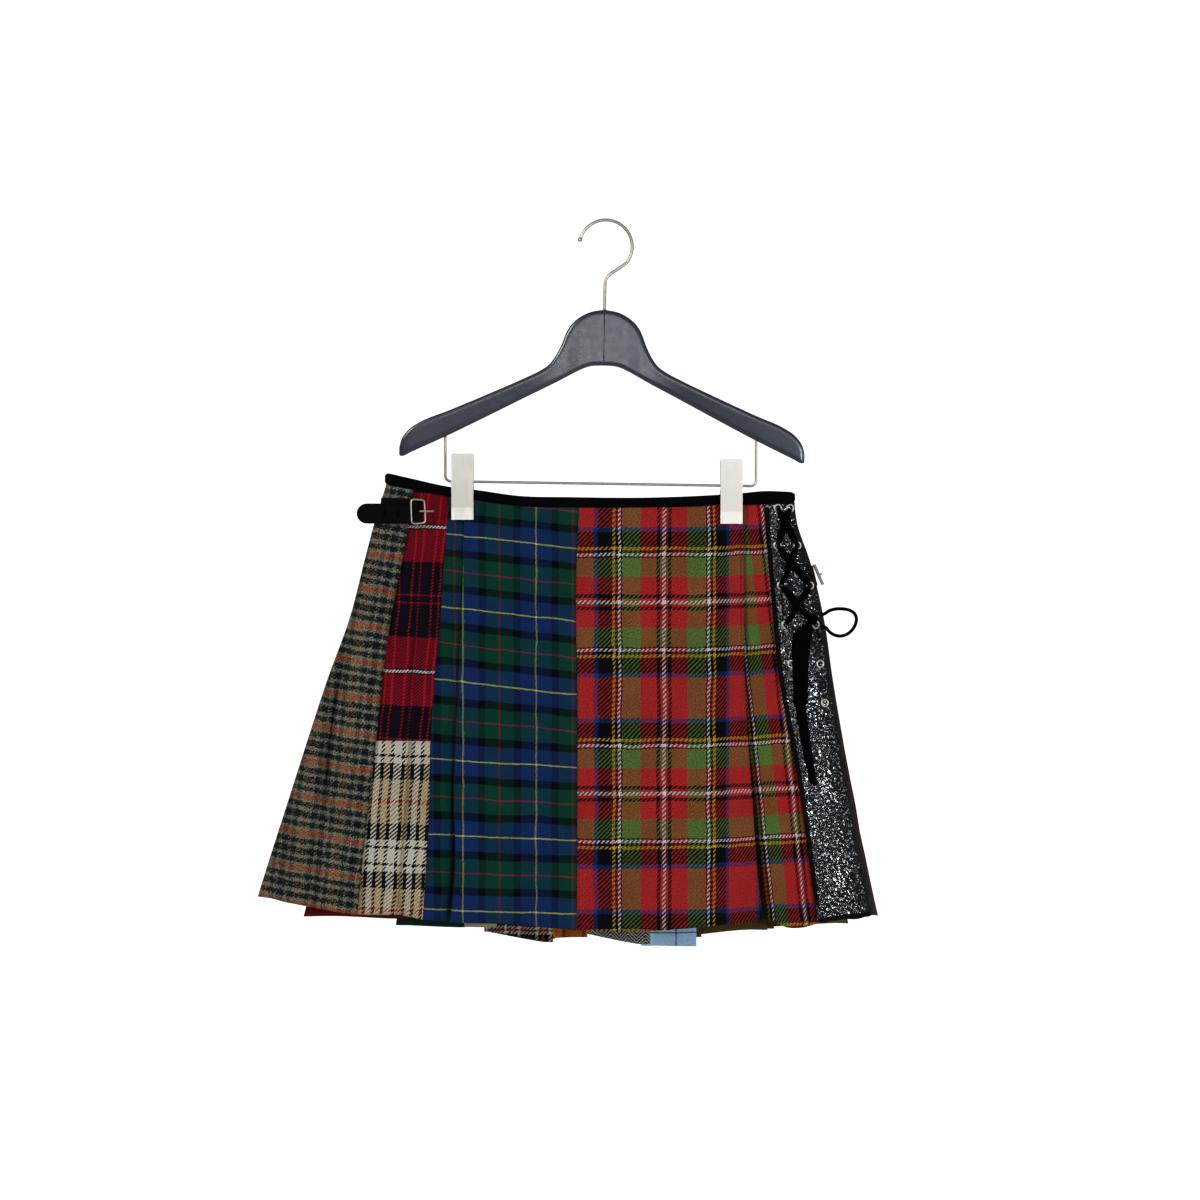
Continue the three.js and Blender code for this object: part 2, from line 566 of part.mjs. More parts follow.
function addLeftBuckle() {
  const { tip, end, z, underLeft, underTop, y } = LEFT_STRAP;
  const underThick = 1.6;
  const strapThick = 2;
  const upper = y + underThick + SEAM_GAP;
  add('strap_left', flatStrap([
    { x: tip, y: upper - 0.6, z, narrow: 6 },
    { x: tip + 3, y: upper - 0.4, z, narrow: 2.2 },
    { x: tip + 8, y: upper - 0.2, z },
    { x: underLeft, y: upper, z },
    { x: end, y: upper, z },
  ], STRAP_WIDTH, strapThick), BLACK_LEATHER, 0.5);
  add('strap_left_under', flatStrap([
    { x: underLeft, y, z: underTop - 10 },
    { x: BUCKLE.right - 3, y, z: underTop - 12 },
  ], STRAP_WIDTH, underThick), BLACK_LEATHER, 0.5);
  const ring = new THREE.Shape();
  ring.moveTo(BUCKLE.left, BUCKLE.bottom).lineTo(BUCKLE.right, BUCKLE.bottom + 1.5);
  ring.lineTo(BUCKLE.right, BUCKLE.top).lineTo(BUCKLE.left, BUCKLE.top).closePath();
  const hole = new THREE.Path();
  hole.moveTo(BUCKLE.left + BUCKLE.bar, BUCKLE.bottom + BUCKLE.bar);
  hole.lineTo(BUCKLE.left + BUCKLE.bar, BUCKLE.top - BUCKLE.bar);
  hole.lineTo(BUCKLE.right - BUCKLE.bar, BUCKLE.top - BUCKLE.bar);
  hole.lineTo(BUCKLE.right - BUCKLE.bar, BUCKLE.bottom + BUCKLE.bar + 1.5).closePath();
  ring.holes.push(hole);
  const frameY = upper + strapThick + SEAM_GAP;
  const frame = closedFrom(new THREE.ExtrudeGeometry(ring, { depth: BUCKLE.deep, bevelEnabled: false }));
  add('buckle_left_frame', frame.rotateX(Math.PI / 2).translate(0, -frameY, 0), NICKEL, 0.3, 1);
  const prongY = -(frameY + BUCKLE.deep + SEAM_GAP + 1);
  const prong = new THREE.CylinderGeometry(1, 1, 14, 8).rotateZ(Math.PI / 2).translate(-176, prongY, -290);
  add('buckle_left_prong', closedFrom(prong), NICKEL, 0.3, 1);
}

// Strap and buckle at the right side: the strap comes round from the back over the leather's
// edge, and the frame stands on it, seen edge on from the front.
const RIGHT_STRAP = { z: -354, frameX: 214.9, tilt: -24, prongX: 217.3, prongZ: -352.4 };

function addRightBuckle() {
  const { z, frameX, tilt, prongX, prongZ } = RIGHT_STRAP;
  const strapThick = 2;
  const at = (across, side) => ({ share: across, side });
  const route = [at(1, 1), at(0.985, 1), at(0.94, 1), at(0.85, 1), at(0.6, 1)];
  add('strap_right', panel(route, {
    thick: strapThick,
    lift: LEATHER / 2 + 5 * SEAM_GAP + strapThick / 2,
    top: z + STRAP_WIDTH / 2,
    bottom: z - STRAP_WIDTH / 2,
  }), BLACK_LEATHER, 0.5);
  const frameBar = 2.2;
  const outline = rectangle(8, 11);
  outline.holes.push(rectangle(8 - frameBar, 11 - frameBar));
  const frame = closedFrom(new THREE.ExtrudeGeometry(outline, { depth: frameBar, bevelEnabled: false }));
  frame.translate(0, 0, -frameBar / 2).rotateY(Math.PI / 2).rotateX(Math.PI / 2);
  frame.rotateY(THREE.MathUtils.degToRad(tilt)).translate(frameX, 0, z + 1);
  add('buckle_right_frame', frame, NICKEL, 0.3, 1);
  const prong = closedFrom(new THREE.CylinderGeometry(0.9, 0.9, 15, 8));
  add('buckle_right_prong', prong.translate(prongX, 0, prongZ), NICKEL, 0.3, 1);
}

// Outside of the leather, above its middle
const LEATHER_FACE = LEATHER / 2 + SEAM_GAP;

// Eyelets: rings with a raised round lip, set square to the leather
function addEyelets() {
  const { outer, hole, high } = EYELET;
  EYELETS.forEach((row, i) => {
    for (const column of ['left', 'right']) {
      const x = row[column];
      const lip = [[hole, 0], [outer, 0], [outer - 0.3, high * 0.7], [(outer + hole) / 2, high],
        [hole, high * 0.7], [hole, 0]];
      const ring = new THREE.LatheGeometry(lip.map(([r, h]) => new THREE.Vector2(r, h)), 14);
      const slope = new THREE.Vector2(depthAt(x + 2, row.z) - depthAt(x - 2, row.z), 4);
      const fall = depthAt(x, row.z - 4) - depthAt(x, row.z + 4);
      const normal = new THREE.Vector3(-slope.x / slope.y, -1, fall / 8).normalize();
      const turn = new THREE.Quaternion().setFromUnitVectors(new THREE.Vector3(0, 1, 0), normal);
      const seat = onFront(x, row.z, 0).addScaledVector(normal, LEATHER_FACE + 0.25);
      const body = closedFrom(ring).applyQuaternion(turn).translate(seat.x, seat.y, seat.z);
      add(`eyelet_${column}_${i + 1}`, body, STEEL, 0.25, 1);
    }
  });
}

// Lace: crossings that run down from one column of eyelets to the other, a knot, the bow's one
// round loop and the two flat ends that hang from the knot
const LACE_LIFT = LEATHER_FACE + 0.3;
const KNOT = { x: 209, z: -397, wide: 8, deep: 5, high: 8.5, lift: 8.4 };
const knotMiddle = onFront(KNOT.x, KNOT.z, LACE_LIFT + KNOT.lift);

function addLace() {
  const clear = EYELET.outer + 1.2;
  const crossing = (name, a, b, lift) => {
    const along = new THREE.Vector2(b[0] - a[0], b[1] - a[1]);
    const start = clear / along.length();
    const route = [0, 0.33, 0.67, 1].map((f) => {
      const t = THREE.MathUtils.lerp(start, 1 - start, f);
      return [a[0] + along.x * t, a[1] + along.y * t];
    });
    add(name, ribbon(route, LACE_WIDTH * 0.75, LACE_THICK, lift), BLACK_CLOTH);
  };
  for (let i = 0; i < 3; i += 1) {
    const upper = EYELETS[i];
    const lower = EYELETS[i + 1];
    crossing(`lace_under_${i + 1}`, [upper.right, upper.z], [lower.left, lower.z], LACE_LIFT);
    crossing(`lace_over_${i + 1}`, [upper.left, upper.z], [lower.right, lower.z],
      LACE_LIFT + LACE_THICK + SEAM_GAP);
  }
  const knot = new THREE.SphereGeometry(1, 10, 8).scale(KNOT.wide, KNOT.deep, KNOT.high);
  add('lace_knot', closedFrom(knot.translate(...knotMiddle.toArray())), BLACK_CLOTH);
}

// Free stretches of the lace: the loop leaves the knot's right side and comes back to it
const LOOP = { x: 235.3, z: -399.2, across: 16.5, high: 13.6, exitX: 216.5, exitHalf: 5.6, opens: 148 };

function addFreeLace() {
  const steps = 12;
  const exit = (side) => new THREE.Vector3(LOOP.exitX, knotMiddle.y - side * 0.2, LOOP.z + side * LOOP.exitHalf);
  const round = Array.from({ length: steps + 1 }, (_, i) => {
    const angle = THREE.MathUtils.degToRad(LOOP.opens * (1 - 2 * i / steps));
    return new THREE.Vector3(
      LOOP.x + LOOP.across * Math.cos(angle), knotMiddle.y, LOOP.z + LOOP.high * Math.sin(angle));
  });
  add('lace_loop', wire([exit(1), ...round, exit(-1)], LACE_CORD, 30), BLACK_CLOTH);
  const low = LACE_LIFT;
  const hung = [
    { x: 206, z: -405.9, width: 7, lift: low + 7.4 },
    { x: 199, z: -425, width: 9, lift: low + 3 },
    { x: 195.5, z: -452, width: 10, lift: low + 2 },
    { x: 195.5, z: -480, width: 10.5, lift: low + 2 },
    { x: 200, z: -512, width: 9.5, lift: low + 1 },
    { x: 205.5, z: -545, width: 8, lift: low + 0.6 },
    { x: 210.3, z: -563, width: 3.5, lift: low + 0.6 },
  ];
  add('lace_end', ribbon(hung.map(({ x, z }) => [x, z]), hung.map((row) => row.width), LACE_THICK,
    hung.map((row) => row.lift)), BLACK_CLOTH);
}

addHook();
addHanger();
addClipBar();
addClips();
addWaistband();
addTweed();
addRedNavy();
addBlueGreen();
addRedTartan();
addLeather();
addBackPleats();
addLeftBuckle();
addRightBuckle();
addEyelets();
addLace();
addFreeLace();

export default kilt;
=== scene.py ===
"""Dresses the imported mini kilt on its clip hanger: cloths, leather, lacing, metal and stage."""

import json
import math

import bpy
import numpy as np
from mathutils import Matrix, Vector

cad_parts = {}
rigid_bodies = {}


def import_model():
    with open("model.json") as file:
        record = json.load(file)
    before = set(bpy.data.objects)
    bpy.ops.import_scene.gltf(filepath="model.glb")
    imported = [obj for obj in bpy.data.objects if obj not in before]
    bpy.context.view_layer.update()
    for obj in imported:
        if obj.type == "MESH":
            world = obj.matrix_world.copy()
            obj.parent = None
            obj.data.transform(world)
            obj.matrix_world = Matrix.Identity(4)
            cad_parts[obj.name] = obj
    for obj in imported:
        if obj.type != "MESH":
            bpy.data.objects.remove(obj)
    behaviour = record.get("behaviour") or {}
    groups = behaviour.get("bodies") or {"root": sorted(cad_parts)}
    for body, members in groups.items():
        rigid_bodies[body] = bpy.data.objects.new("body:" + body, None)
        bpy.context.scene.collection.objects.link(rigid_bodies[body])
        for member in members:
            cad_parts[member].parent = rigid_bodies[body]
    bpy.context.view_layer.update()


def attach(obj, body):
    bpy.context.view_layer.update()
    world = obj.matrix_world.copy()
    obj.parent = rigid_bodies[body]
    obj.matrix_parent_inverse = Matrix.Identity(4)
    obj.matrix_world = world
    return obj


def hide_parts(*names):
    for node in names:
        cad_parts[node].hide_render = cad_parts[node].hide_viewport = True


bl_info = {
    "name": "Patchwork mini kilt",
    "version": (1, 0, 0),
    "blender": (4, 5, 0),
    "location": "View3D > Sidebar > Kilt",
    "description": "Builds the cloths, leather, lacing and hanger of a hung mini kilt",
    "category": "Add Mesh",
}

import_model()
bpy.ops.object.select_all(action="DESELECT")

MM = 0.001


def linear(text):
    """An sRGB hex colour as linear light."""
    parts = [int(text[i : i + 2], 16) / 255 for i in (1, 3, 5)]
    light = [p / 12.92 if p <= 0.04045 else ((p + 0.055) / 1.055) ** 2.4 for p in parts]
    return (*light, 1.0)


def size_property(name, description, millimetres):
    """A size that a user can change, in metres, from millimetres."""
    return bpy.props.FloatProperty(
        name=name, description=description, default=millimetres * MM, min=0.0,
        subtype="DISTANCE", unit="LENGTH", precision=4)


def colour_property(name, description, text):
    """A colour that a user can change, from an sRGB hex colour."""
    return bpy.props.FloatVectorProperty(
        name=name, description=description, default=linear(text), size=4,
        min=0.0, max=1.0, subtype="COLOR")


class KiltSettings(bpy.types.PropertyGroup):
    """Sizes and colours of the kilt that a user would change"""

    cloth: size_property("Cloth", "Thickness of each wool panel", 1.2)
    leather: size_property("Crinkled leather", "Thickness of the crinkled leather panel", 1.6)
    strap: size_property("Straps", "Thickness of the left strap", 2.0)
    lace: size_property("Lace", "Thickness of the flat lace", 1.2)
    eyelet: size_property("Eyelets", "Radius of each eyelet's rolled ring", 3.45)
    hook_wire: size_property("Hook wire", "Diameter of the hook's wire", 3.2)
    bar_wire: size_property("Bar wire", "Diameter of the clip bar's wire", 2.7)
    leather_colour: colour_property(
        "Leather", "Colour of the leather panel and the straps", "#050507")
    lace_colour: colour_property("Lace", "Colour of the lace", "#050506")
    lacquer_colour: colour_property("Lacquer", "Colour of the hanger's arms", "#222b3c")
    steel_colour: colour_property("Steel", "Colour of the clips", "#e2ddd3")
    nickel_colour: colour_property(
        "Nickel", "Colour of the hook, the bar, the eyelets and the buckles", "#cfc8bc")
    light: bpy.props.FloatProperty(
        name="Light", description="Strength of every lamp against the normal one",
        default=1.0, min=0.0, subtype="FACTOR")


def settings():
    """The sizes and colours in use."""
    return bpy.context.scene.kilt


# Outline of the kilt at each level, in millimetres: the lines between its front panels from
# left to right, its half depth, and how square its section is.
LEVELS = (
    ("z", "left", "tweed", "camel", "redNavy", "apron", "centre", "pleat", "leather", "right",
     "depth", "square"),
    (-263, -216.7, -190.5, -171, -153.5, -137, -23.8, 138.5, 159, 189, 6.3, 10),
    (-303, -229, -196, -176, -156.5, -138, -25.4, 138.5, 161.5, 193.2, 6.3, 10),
    (-338, -238.2, -202, -180, -159.2, -138.5, -26.9, 138.5, 163.9, 205.1, 9.5, 7),
    (-398, -253.8, -213.4, -184, -162.7, -139.8, -27.6, 138.5, 168.9, 219.5, 15, 5),
    (-458, -275.6, -221.4, -189, -168.3, -142.4, -26.3, 138.8, 174.9, 228.2, 20, 4.2),
    (-518, -295.3, -227.5, -194.3, -171.9, -144.8, -26.1, 141.7, 185.9, 238.2, 24.5, 3.7),
    (-578, -314.4, -234.3, -198.4, -172.6, -146.3, -26.3, 145.8, 196.1, 248.7, 29, 3.3),
    (-638, -333.7, -240.6, -202.9, -175.6, -145, -26.4, 149.8, 204.1, 260.5, 33, 3),
    (-705, -354.5, -246.9, -208, -179.5, -150.5, -26.5, 157, 212.5, 275.5, 37, 3),
)
WAIST, HEM = -263.0, -705.0
# Distance between the middles of lapped cloths, at the waist and at the hem
WAIST_PLY, HEM_PLY = 1.65, 2.7
# Gap between two cloths at a seam, how far the cloths reach into the waistband, and the height
# of the seam above the camel patch
SEAM_GAP = 0.3
TUCKED = 1.5
PATCH_SEAM = -518
# Tapering of a crease at its ends, as a share of its length, and the depth over which the
# creases of a front cloth fade out where it wraps to the back
CREASE_OVERRUN, CREASE_TAPER = 0.12, 0.3
WRAP_FADE = 6

# Upper and lower edge of the waistband: x, top, bottom
BAND = (
    (-216, -251.4, -263.4), (-190, -257.5, -269), (-152, -265.6, -275.5), (-129, -268.2, -279.8),
    (-84, -274.4, -285.6), (-34, -275.6, -286.8), (48, -276, -286.8), (94, -274.4, -286),
    (138, -271.6, -283.7), (160, -269.6, -282.9), (189, -270.4, -281.4),
)
# Hem of the front cloths: x, height
FRONT_HEM = (
    (-345, -674.9), (-289, -684), (-247, -690), (-208, -690), (-180, -695), (-150, -697),
    (-89, -699), (-26, -704.5), (82, -704), (167, -697), (187, -704), (212, -698.5), (272, -692.8),
)
# Back pleats from right to left: name, sides as a share of the half width, hem at both sides,
# material and slot
BACK_PLEATS = (
    ("back_dark_red_right", 1, 0.887, -694, -699, "dark_red", "dark_red_cloth"),
    ("back_olive", 0.887, 0.6, -703, -710, "olive", "olive_cloth"),
    ("back_brown", 0.6, 0.386, -711, -719, "brown", "brown_cloth"),
    ("back_light_blue", 0.386, 0.252, -728, -728, "light_blue", "light_blue_cloth"),
    ("back_grey_herringbone", 0.252, 0.0365, -726, -714, "herringbone", "grey_herringbone"),
    ("back_orange", 0.0365, -0.052, -719, -721, "orange", "orange_cloth"),
    ("back_dark_plaid", -0.052, -0.252, -724, -714, "dark_plaid", "dark_plaid"),
    ("back_beige_twill", -0.252, -0.335, -709, -709, "beige_twill", "beige_twill"),
    ("back_bottle_green", -0.335, -0.535, -709, -707, "bottle_green", "bottle_green"),
    ("back_dark_red_left", -0.535, -0.75, -700, -697, "dark_red", "dark_red_cloth"),
)


# Form of the kilt


def smooth_curve(keys, values):
    """A function through the rows of a table, with a smooth slope at each row."""
    order = np.argsort(keys)
    k = np.asarray(keys, float)[order]
    v = np.asarray(values, float)[order]
    slope = np.gradient(v, k)

    def at(place):
        p = np.clip(np.asarray(place, float), k[0], k[-1])
        i = np.clip(np.searchsorted(k, p) - 1, 0, len(k) - 2)
        step = k[i + 1] - k[i]
        t = (p - k[i]) / step
        a = (1 + 2 * t) * (1 - t) ** 2 * v[i] + t * (1 - t) ** 2 * step * slope[i]
        b = t * t * (3 - 2 * t) * v[i + 1] + t * t * (t - 1) * step * slope[i + 1]
        return a + b

    return at


EDGE = {
    name: smooth_curve([row[0] for row in LEVELS[1:]], [row[i] for row in LEVELS[1:]])
    for i, name in enumerate(LEVELS[0])
    if i
}
band_top = smooth_curve([r[0] for r in BAND], [r[1] for r in BAND])
band_bottom = smooth_curve([r[0] for r in BAND], [r[2] for r in BAND])
front_hem = smooth_curve([r[0] for r in FRONT_HEM], [r[1] for r in FRONT_HEM])


def share(z):
    """How far down the kilt a height is, from 0 at the waist to 1 at the hem."""
    return np.clip((WAIST - z) / (WAIST - HEM), 0, 1)


def ply_at(z):
    """Distance between lapped cloths at a height."""
    return WAIST_PLY + (HEM_PLY - WAIST_PLY) * share(z)


def depth_at(x, z):
    """Half depth of the kilt's section at a place across it."""
    left, right = EDGE["left"](z), EDGE["right"](z)
    off = np.abs(2 * x - left - right) / (right - left)
    return EDGE["depth"](z) * np.sqrt(np.maximum(0, 1 - off ** EDGE["square"](z)))


def place_of(station, z):
    """Where a station of a panel lies across the kilt at a height. Its shift holds at the hem and
    is half as wide at the waist."""
    if "share" in station:
        middle = (EDGE["left"](z) + EDGE["right"](z)) / 2
        base = middle + (EDGE["right"](z) - EDGE["left"](z)) / 2 * station["share"]
    else:
        a = EDGE[station["at"]](z)
        b = EDGE[station.get("to", station["at"])](z)
        base = a + (b - a) * station.get("f", 0)
    return base + station.get("shift", 0) * (0.5 + 0.5 * share(z))


def rounded_across(points, counts):
    """Fills in a smooth line between stations: points is rows by stations by 3."""
    chord = np.linalg.norm(np.diff(points, axis=1), axis=2)[..., None] + 1e-6
    slope = np.diff(points, axis=1) / chord
    weighed = slope[:, :-1] * chord[:, 1:] + slope[:, 1:] * chord[:, :-1]
    inner = weighed / (chord[:, 1:] + chord[:, :-1])
    tangent = np.concatenate([slope[:, :1], inner, slope[:, -1:]], axis=1)
    # Beside a short stretch, as at a fold, a long one turns only close to its end.
    before = np.minimum(chord, 3 * np.concatenate([chord[:, :1], chord[:, :-1]], axis=1))
    after = np.minimum(chord, 3 * np.concatenate([chord[:, 1:], chord[:, -1:]], axis=1))
    pieces = []
    for i, count in enumerate(counts):
        t = np.arange(count)[None, :, None] / count
        a, b = points[:, i : i + 1], points[:, i + 1 : i + 2]
        ma = tangent[:, i : i + 1] * before[:, i : i + 1]
        mb = tangent[:, i + 1 : i + 2] * after[:, i : i + 1]
        pieces.append(
            (1 + 2 * t) * (1 - t) ** 2 * a + t * (1 - t) ** 2 * ma
            + t * t * (3 - 2 * t) * b + t * t * (t - 1) * mb
        )
    return np.concatenate([*pieces, points[:, -1:]], axis=1)


def creased(grid, creases, front):
    """Moves a grid of cloth points in or out along soft creases. Each crease is x, z of its upper
    end, x, z of its lower end, half width and height, in millimetres. Where a front cloth wraps to
    the back it stays flat."""
    along = np.gradient(grid, axis=1)
    down = np.gradient(grid, axis=0)
    normal = np.cross(down, along)
    normal /= np.linalg.norm(normal, axis=2, keepdims=True) + 1e-9
    height = np.zeros(grid.shape[:2])
    for x0, z0, x1, z1, wide, high in creases:
        long = math.hypot(x1 - x0, z1 - z0)
        ax, az = (x1 - x0) / long, (z1 - z0) / long
        dx, dz = grid[..., 0] - x0, grid[..., 2] - z0
        t = (dx * ax + dz * az) / long
        off = dx * az - dz * ax
        inside = np.minimum(t + CREASE_OVERRUN, 1 + CREASE_OVERRUN - t)
        ends = np.clip(inside / CREASE_TAPER, 0, 1)
        height += high * np.exp(-((off / wide) ** 2)) * ends * ends * (3 - 2 * ends)
    if front:
        height *= np.clip(-grid[..., 1] / WRAP_FADE, 0, 1)
    return grid + normal * height[..., None]


def panel_grid(stations, top=None, bottom=None, fine=4.0):
    """The points of a panel, and the shift of its pattern at each of its columns. A station has a
    place across the kilt, and may have a side (front -1, back 1) or a set y, plies it lies under,
    an opening that grows to the hem, a nose that rounds a fold, a hem and a shift of pattern."""
    tops = [float(band_bottom(place_of(s, WAIST))) + TUCKED if top is None else top
            for s in stations]
    hems = [s.get("hem", float(front_hem(place_of(s, HEM))) if bottom is None else bottom)
            for s in stations]
    rows = int((max(tops) - min(hems)) / fine) + 2
    t = np.linspace(0, 1, rows)[:, None]
    z = np.array(tops)[None, :] * (1 - t) + np.array(hems)[None, :] * t
    columns = []
    for c, s in enumerate(stations):
        zc = z[:, c]
        x = place_of(s, zc)
        layer = s.get("ply", 0) * ply_at(zc) + s.get("open", 0) * share(zc) ** 2
        y = np.full_like(x, s["y"]) if "y" in s else s.get("side", -1) * (depth_at(x, zc) - layer)
        columns.append(np.stack([x + s.get("nose", 0) * ply_at(zc), y, zc], axis=1))
    points = np.stack(columns, axis=1)
    widest = np.linalg.norm(np.diff(points, axis=1), axis=2).max(axis=0)
    counts = [max(2, math.ceil(w / fine)) for w in widest]
    grid = rounded_across(points, counts)
    # A shift may differ between waist and hem, where the cloth turns a little off its grain.
    ends = [np.broadcast_to(s.get("du", 0), 2) for s in stations]
    shifts = []
    for k in (0, 1):
        runs = [np.linspace(a[k], b[k], n, endpoint=False)
                for a, b, n in zip(ends, ends[1:], counts)]
        shifts.append(np.concatenate([*runs, [ends[-1][k]]]))
    down = share(grid[..., 2])
    return grid, shifts[0] * (1 - down) + shifts[1] * down


# Meshes


def object_from(name, points, faces, uv=None):
    """A piece from points in millimetres, with its pattern map in millimetres of cloth."""
    mesh = bpy.data.meshes.new(name)
    mesh.from_pydata((np.asarray(points, float) * MM).tolist(), [], faces)
    if uv is not None:
        layer = mesh.uv_layers.new(name="weave")
        loops = np.zeros(len(mesh.loops), np.int32)
        mesh.loops.foreach_get("vertex_index", loops)
        layer.data.foreach_set("uv", np.asarray(uv, float)[loops].ravel())
    mesh.validate()
    piece = bpy.data.objects.new(name, mesh)
    bpy.context.scene.collection.objects.link(piece)
    mesh.polygons.foreach_set("use_smooth", [True] * len(mesh.polygons))
    return piece


def grid_faces(rows, columns, closed=False):
    """The faces of a grid of points, closed to a ring across where asked."""
    faces = []
    for r in range(rows - 1):
        for c in range(columns if closed else columns - 1):
            a, b = r * columns + c, r * columns + (c + 1) % columns
            faces.append((a, a + columns, b + columns, b))
    return faces


def activate(piece):
    """Makes a piece the only selected one and the active one."""
    bpy.ops.object.select_all(action="DESELECT")
    bpy.context.view_layer.objects.active = piece
    piece.select_set(True)


def apply_modifier(piece, kind, **values):
    """Adds one modifier to a piece and applies it."""
    activate(piece)
    modifier = piece.modifiers.new(kind.title(), kind)
    for key, value in values.items():
        setattr(modifier, key, value)
    bpy.ops.object.modifier_apply(modifier=modifier.name)
    piece.select_set(False)


def finish_piece(piece, material, slot, *nodes):
    """Gives a piece its material, its body and the nodes that it stands for; its slot is not used.
    """
    piece.data.materials.clear()
    piece.data.materials.append(material)
    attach(piece, "root")
    if nodes:
        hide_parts(*nodes)
    return piece


def cloth_panel(name, stations, material, slot, pattern, creases=(), thick=None,
                hung_from="waistband_front", **edges):
    """A sheet of cloth on the form of its solid, with its creases and its pattern map."""
    grid, moved = panel_grid(stations, **edges)
    grid = creased(grid, creases, hung_from == "waistband_front")
    rows, columns = grid.shape[:2]
    u, v = pattern(grid[..., 0], grid[..., 2])
    uv = np.stack([u + moved, v + 0 * u], axis=2).reshape(-1, 2)
    piece = object_from(name, grid.reshape(-1, 3), grid_faces(rows, columns), uv)
    apply_modifier(piece, "SOLIDIFY", thickness=thick or settings().cloth, offset=0)
    finish_piece(piece, material, slot, name.removesuffix("_cloth").removesuffix("_hide"))
    return piece


# Materials


def put(tree, kind, values=None, **sockets):
    """Adds a node with its settings; a socket takes a value or another node's output, and is
    called by its name or, as s0, s1 and so on, by its number."""
    made = tree.nodes.new(kind)
    for key, value in (values or {}).items():
        setattr(made, key, value)
    for key, value in sockets.items():
        socket = made.inputs[int(key[1:]) if key[1:].isdigit() else key.replace("_", " ")]
        if isinstance(value, bpy.types.NodeSocket):
            tree.links.new(value, socket)
        else:
            socket.default_value = value
    return made


def new_material(name, **surface):
    """A material with one principled surface; returns it with its tree and surface node."""
    material = bpy.data.materials.new(name)
    material.use_nodes = True
    tree = material.node_tree
    tree.nodes.clear()
    shader = put(tree, "ShaderNodeBsdfPrincipled", None, **surface)
    out = put(tree, "ShaderNodeOutputMaterial")
    tree.links.new(shader.outputs[0], out.inputs[0])
    return material, tree, shader


def sum_of(tree, operation, a, b=0.0):
    """The result of one sum."""
    return put(tree, "ShaderNodeMath", {"operation": operation}, s0=a, s1=b).outputs[0]


def remap(tree, value, low, high, start=0.0, stop=1.0, curve="LINEAR"):
    """A value carried from one range to another."""
    return put(tree, "ShaderNodeMapRange", {"interpolation_type": curve}, Value=value,
               s1=low, s2=high, s3=start, s4=stop).outputs[0]


def flat_noise(tree, place, scale, detail=2.0, **more):
    """Noise over the pattern map, as a node: output 0 is its value and 1 its colour."""
    return put(tree, "ShaderNodeTexNoise", {"noise_dimensions": "2D"}, Vector=place, Scale=scale,
               Detail=detail, **more)


def strayed(tree, place, noise, reach):
    """A place on the pattern map moved about by noise, by up to a reach in millimetres."""
    return put(tree, "ShaderNodeVectorMath", {"operation": "MULTIPLY_ADD"},
               s0=noise.outputs[1], s1=(reach, reach, 0.0), s2=place).outputs[0]


def raised(tree, shader, height, strength, distance, *sockets):
    """Gives a surface relief, its height in millimetres."""
    bump = put(tree, "ShaderNodeBump", None, Strength=strength, Distance=distance * MM,
               Height=height)
    for name in ("Normal", *sockets):
        tree.links.new(bump.outputs[0], shader.inputs[name])


def stripes(tree, place, at, bands):
    """Colour of the threads across one repeat: bands are width and colour, from the mirror line
    at one side of the repeat to the one at the other."""
    half = sum(width for width, _ in bands)
    away = sum_of(tree, "PINGPONG", sum_of(tree, "SUBTRACT", place, at), half)
    ramp = put(tree, "ShaderNodeValToRGB", None, Fac=sum_of(tree, "DIVIDE", away, half))
    stops = ramp.color_ramp.elements
    ramp.color_ramp.interpolation = "CONSTANT"
    start = 0.0
    for i, (width, shade) in enumerate(bands):
        stop = stops[0] if i == 0 else stops.new(start / half)
        stop.position = start / half
        stop.color = linear(shade)
        start += width
    # The ramp comes with one more stop at its end.
    stops[-1].color = linear(bands[-1][1])
    return ramp.outputs[0]


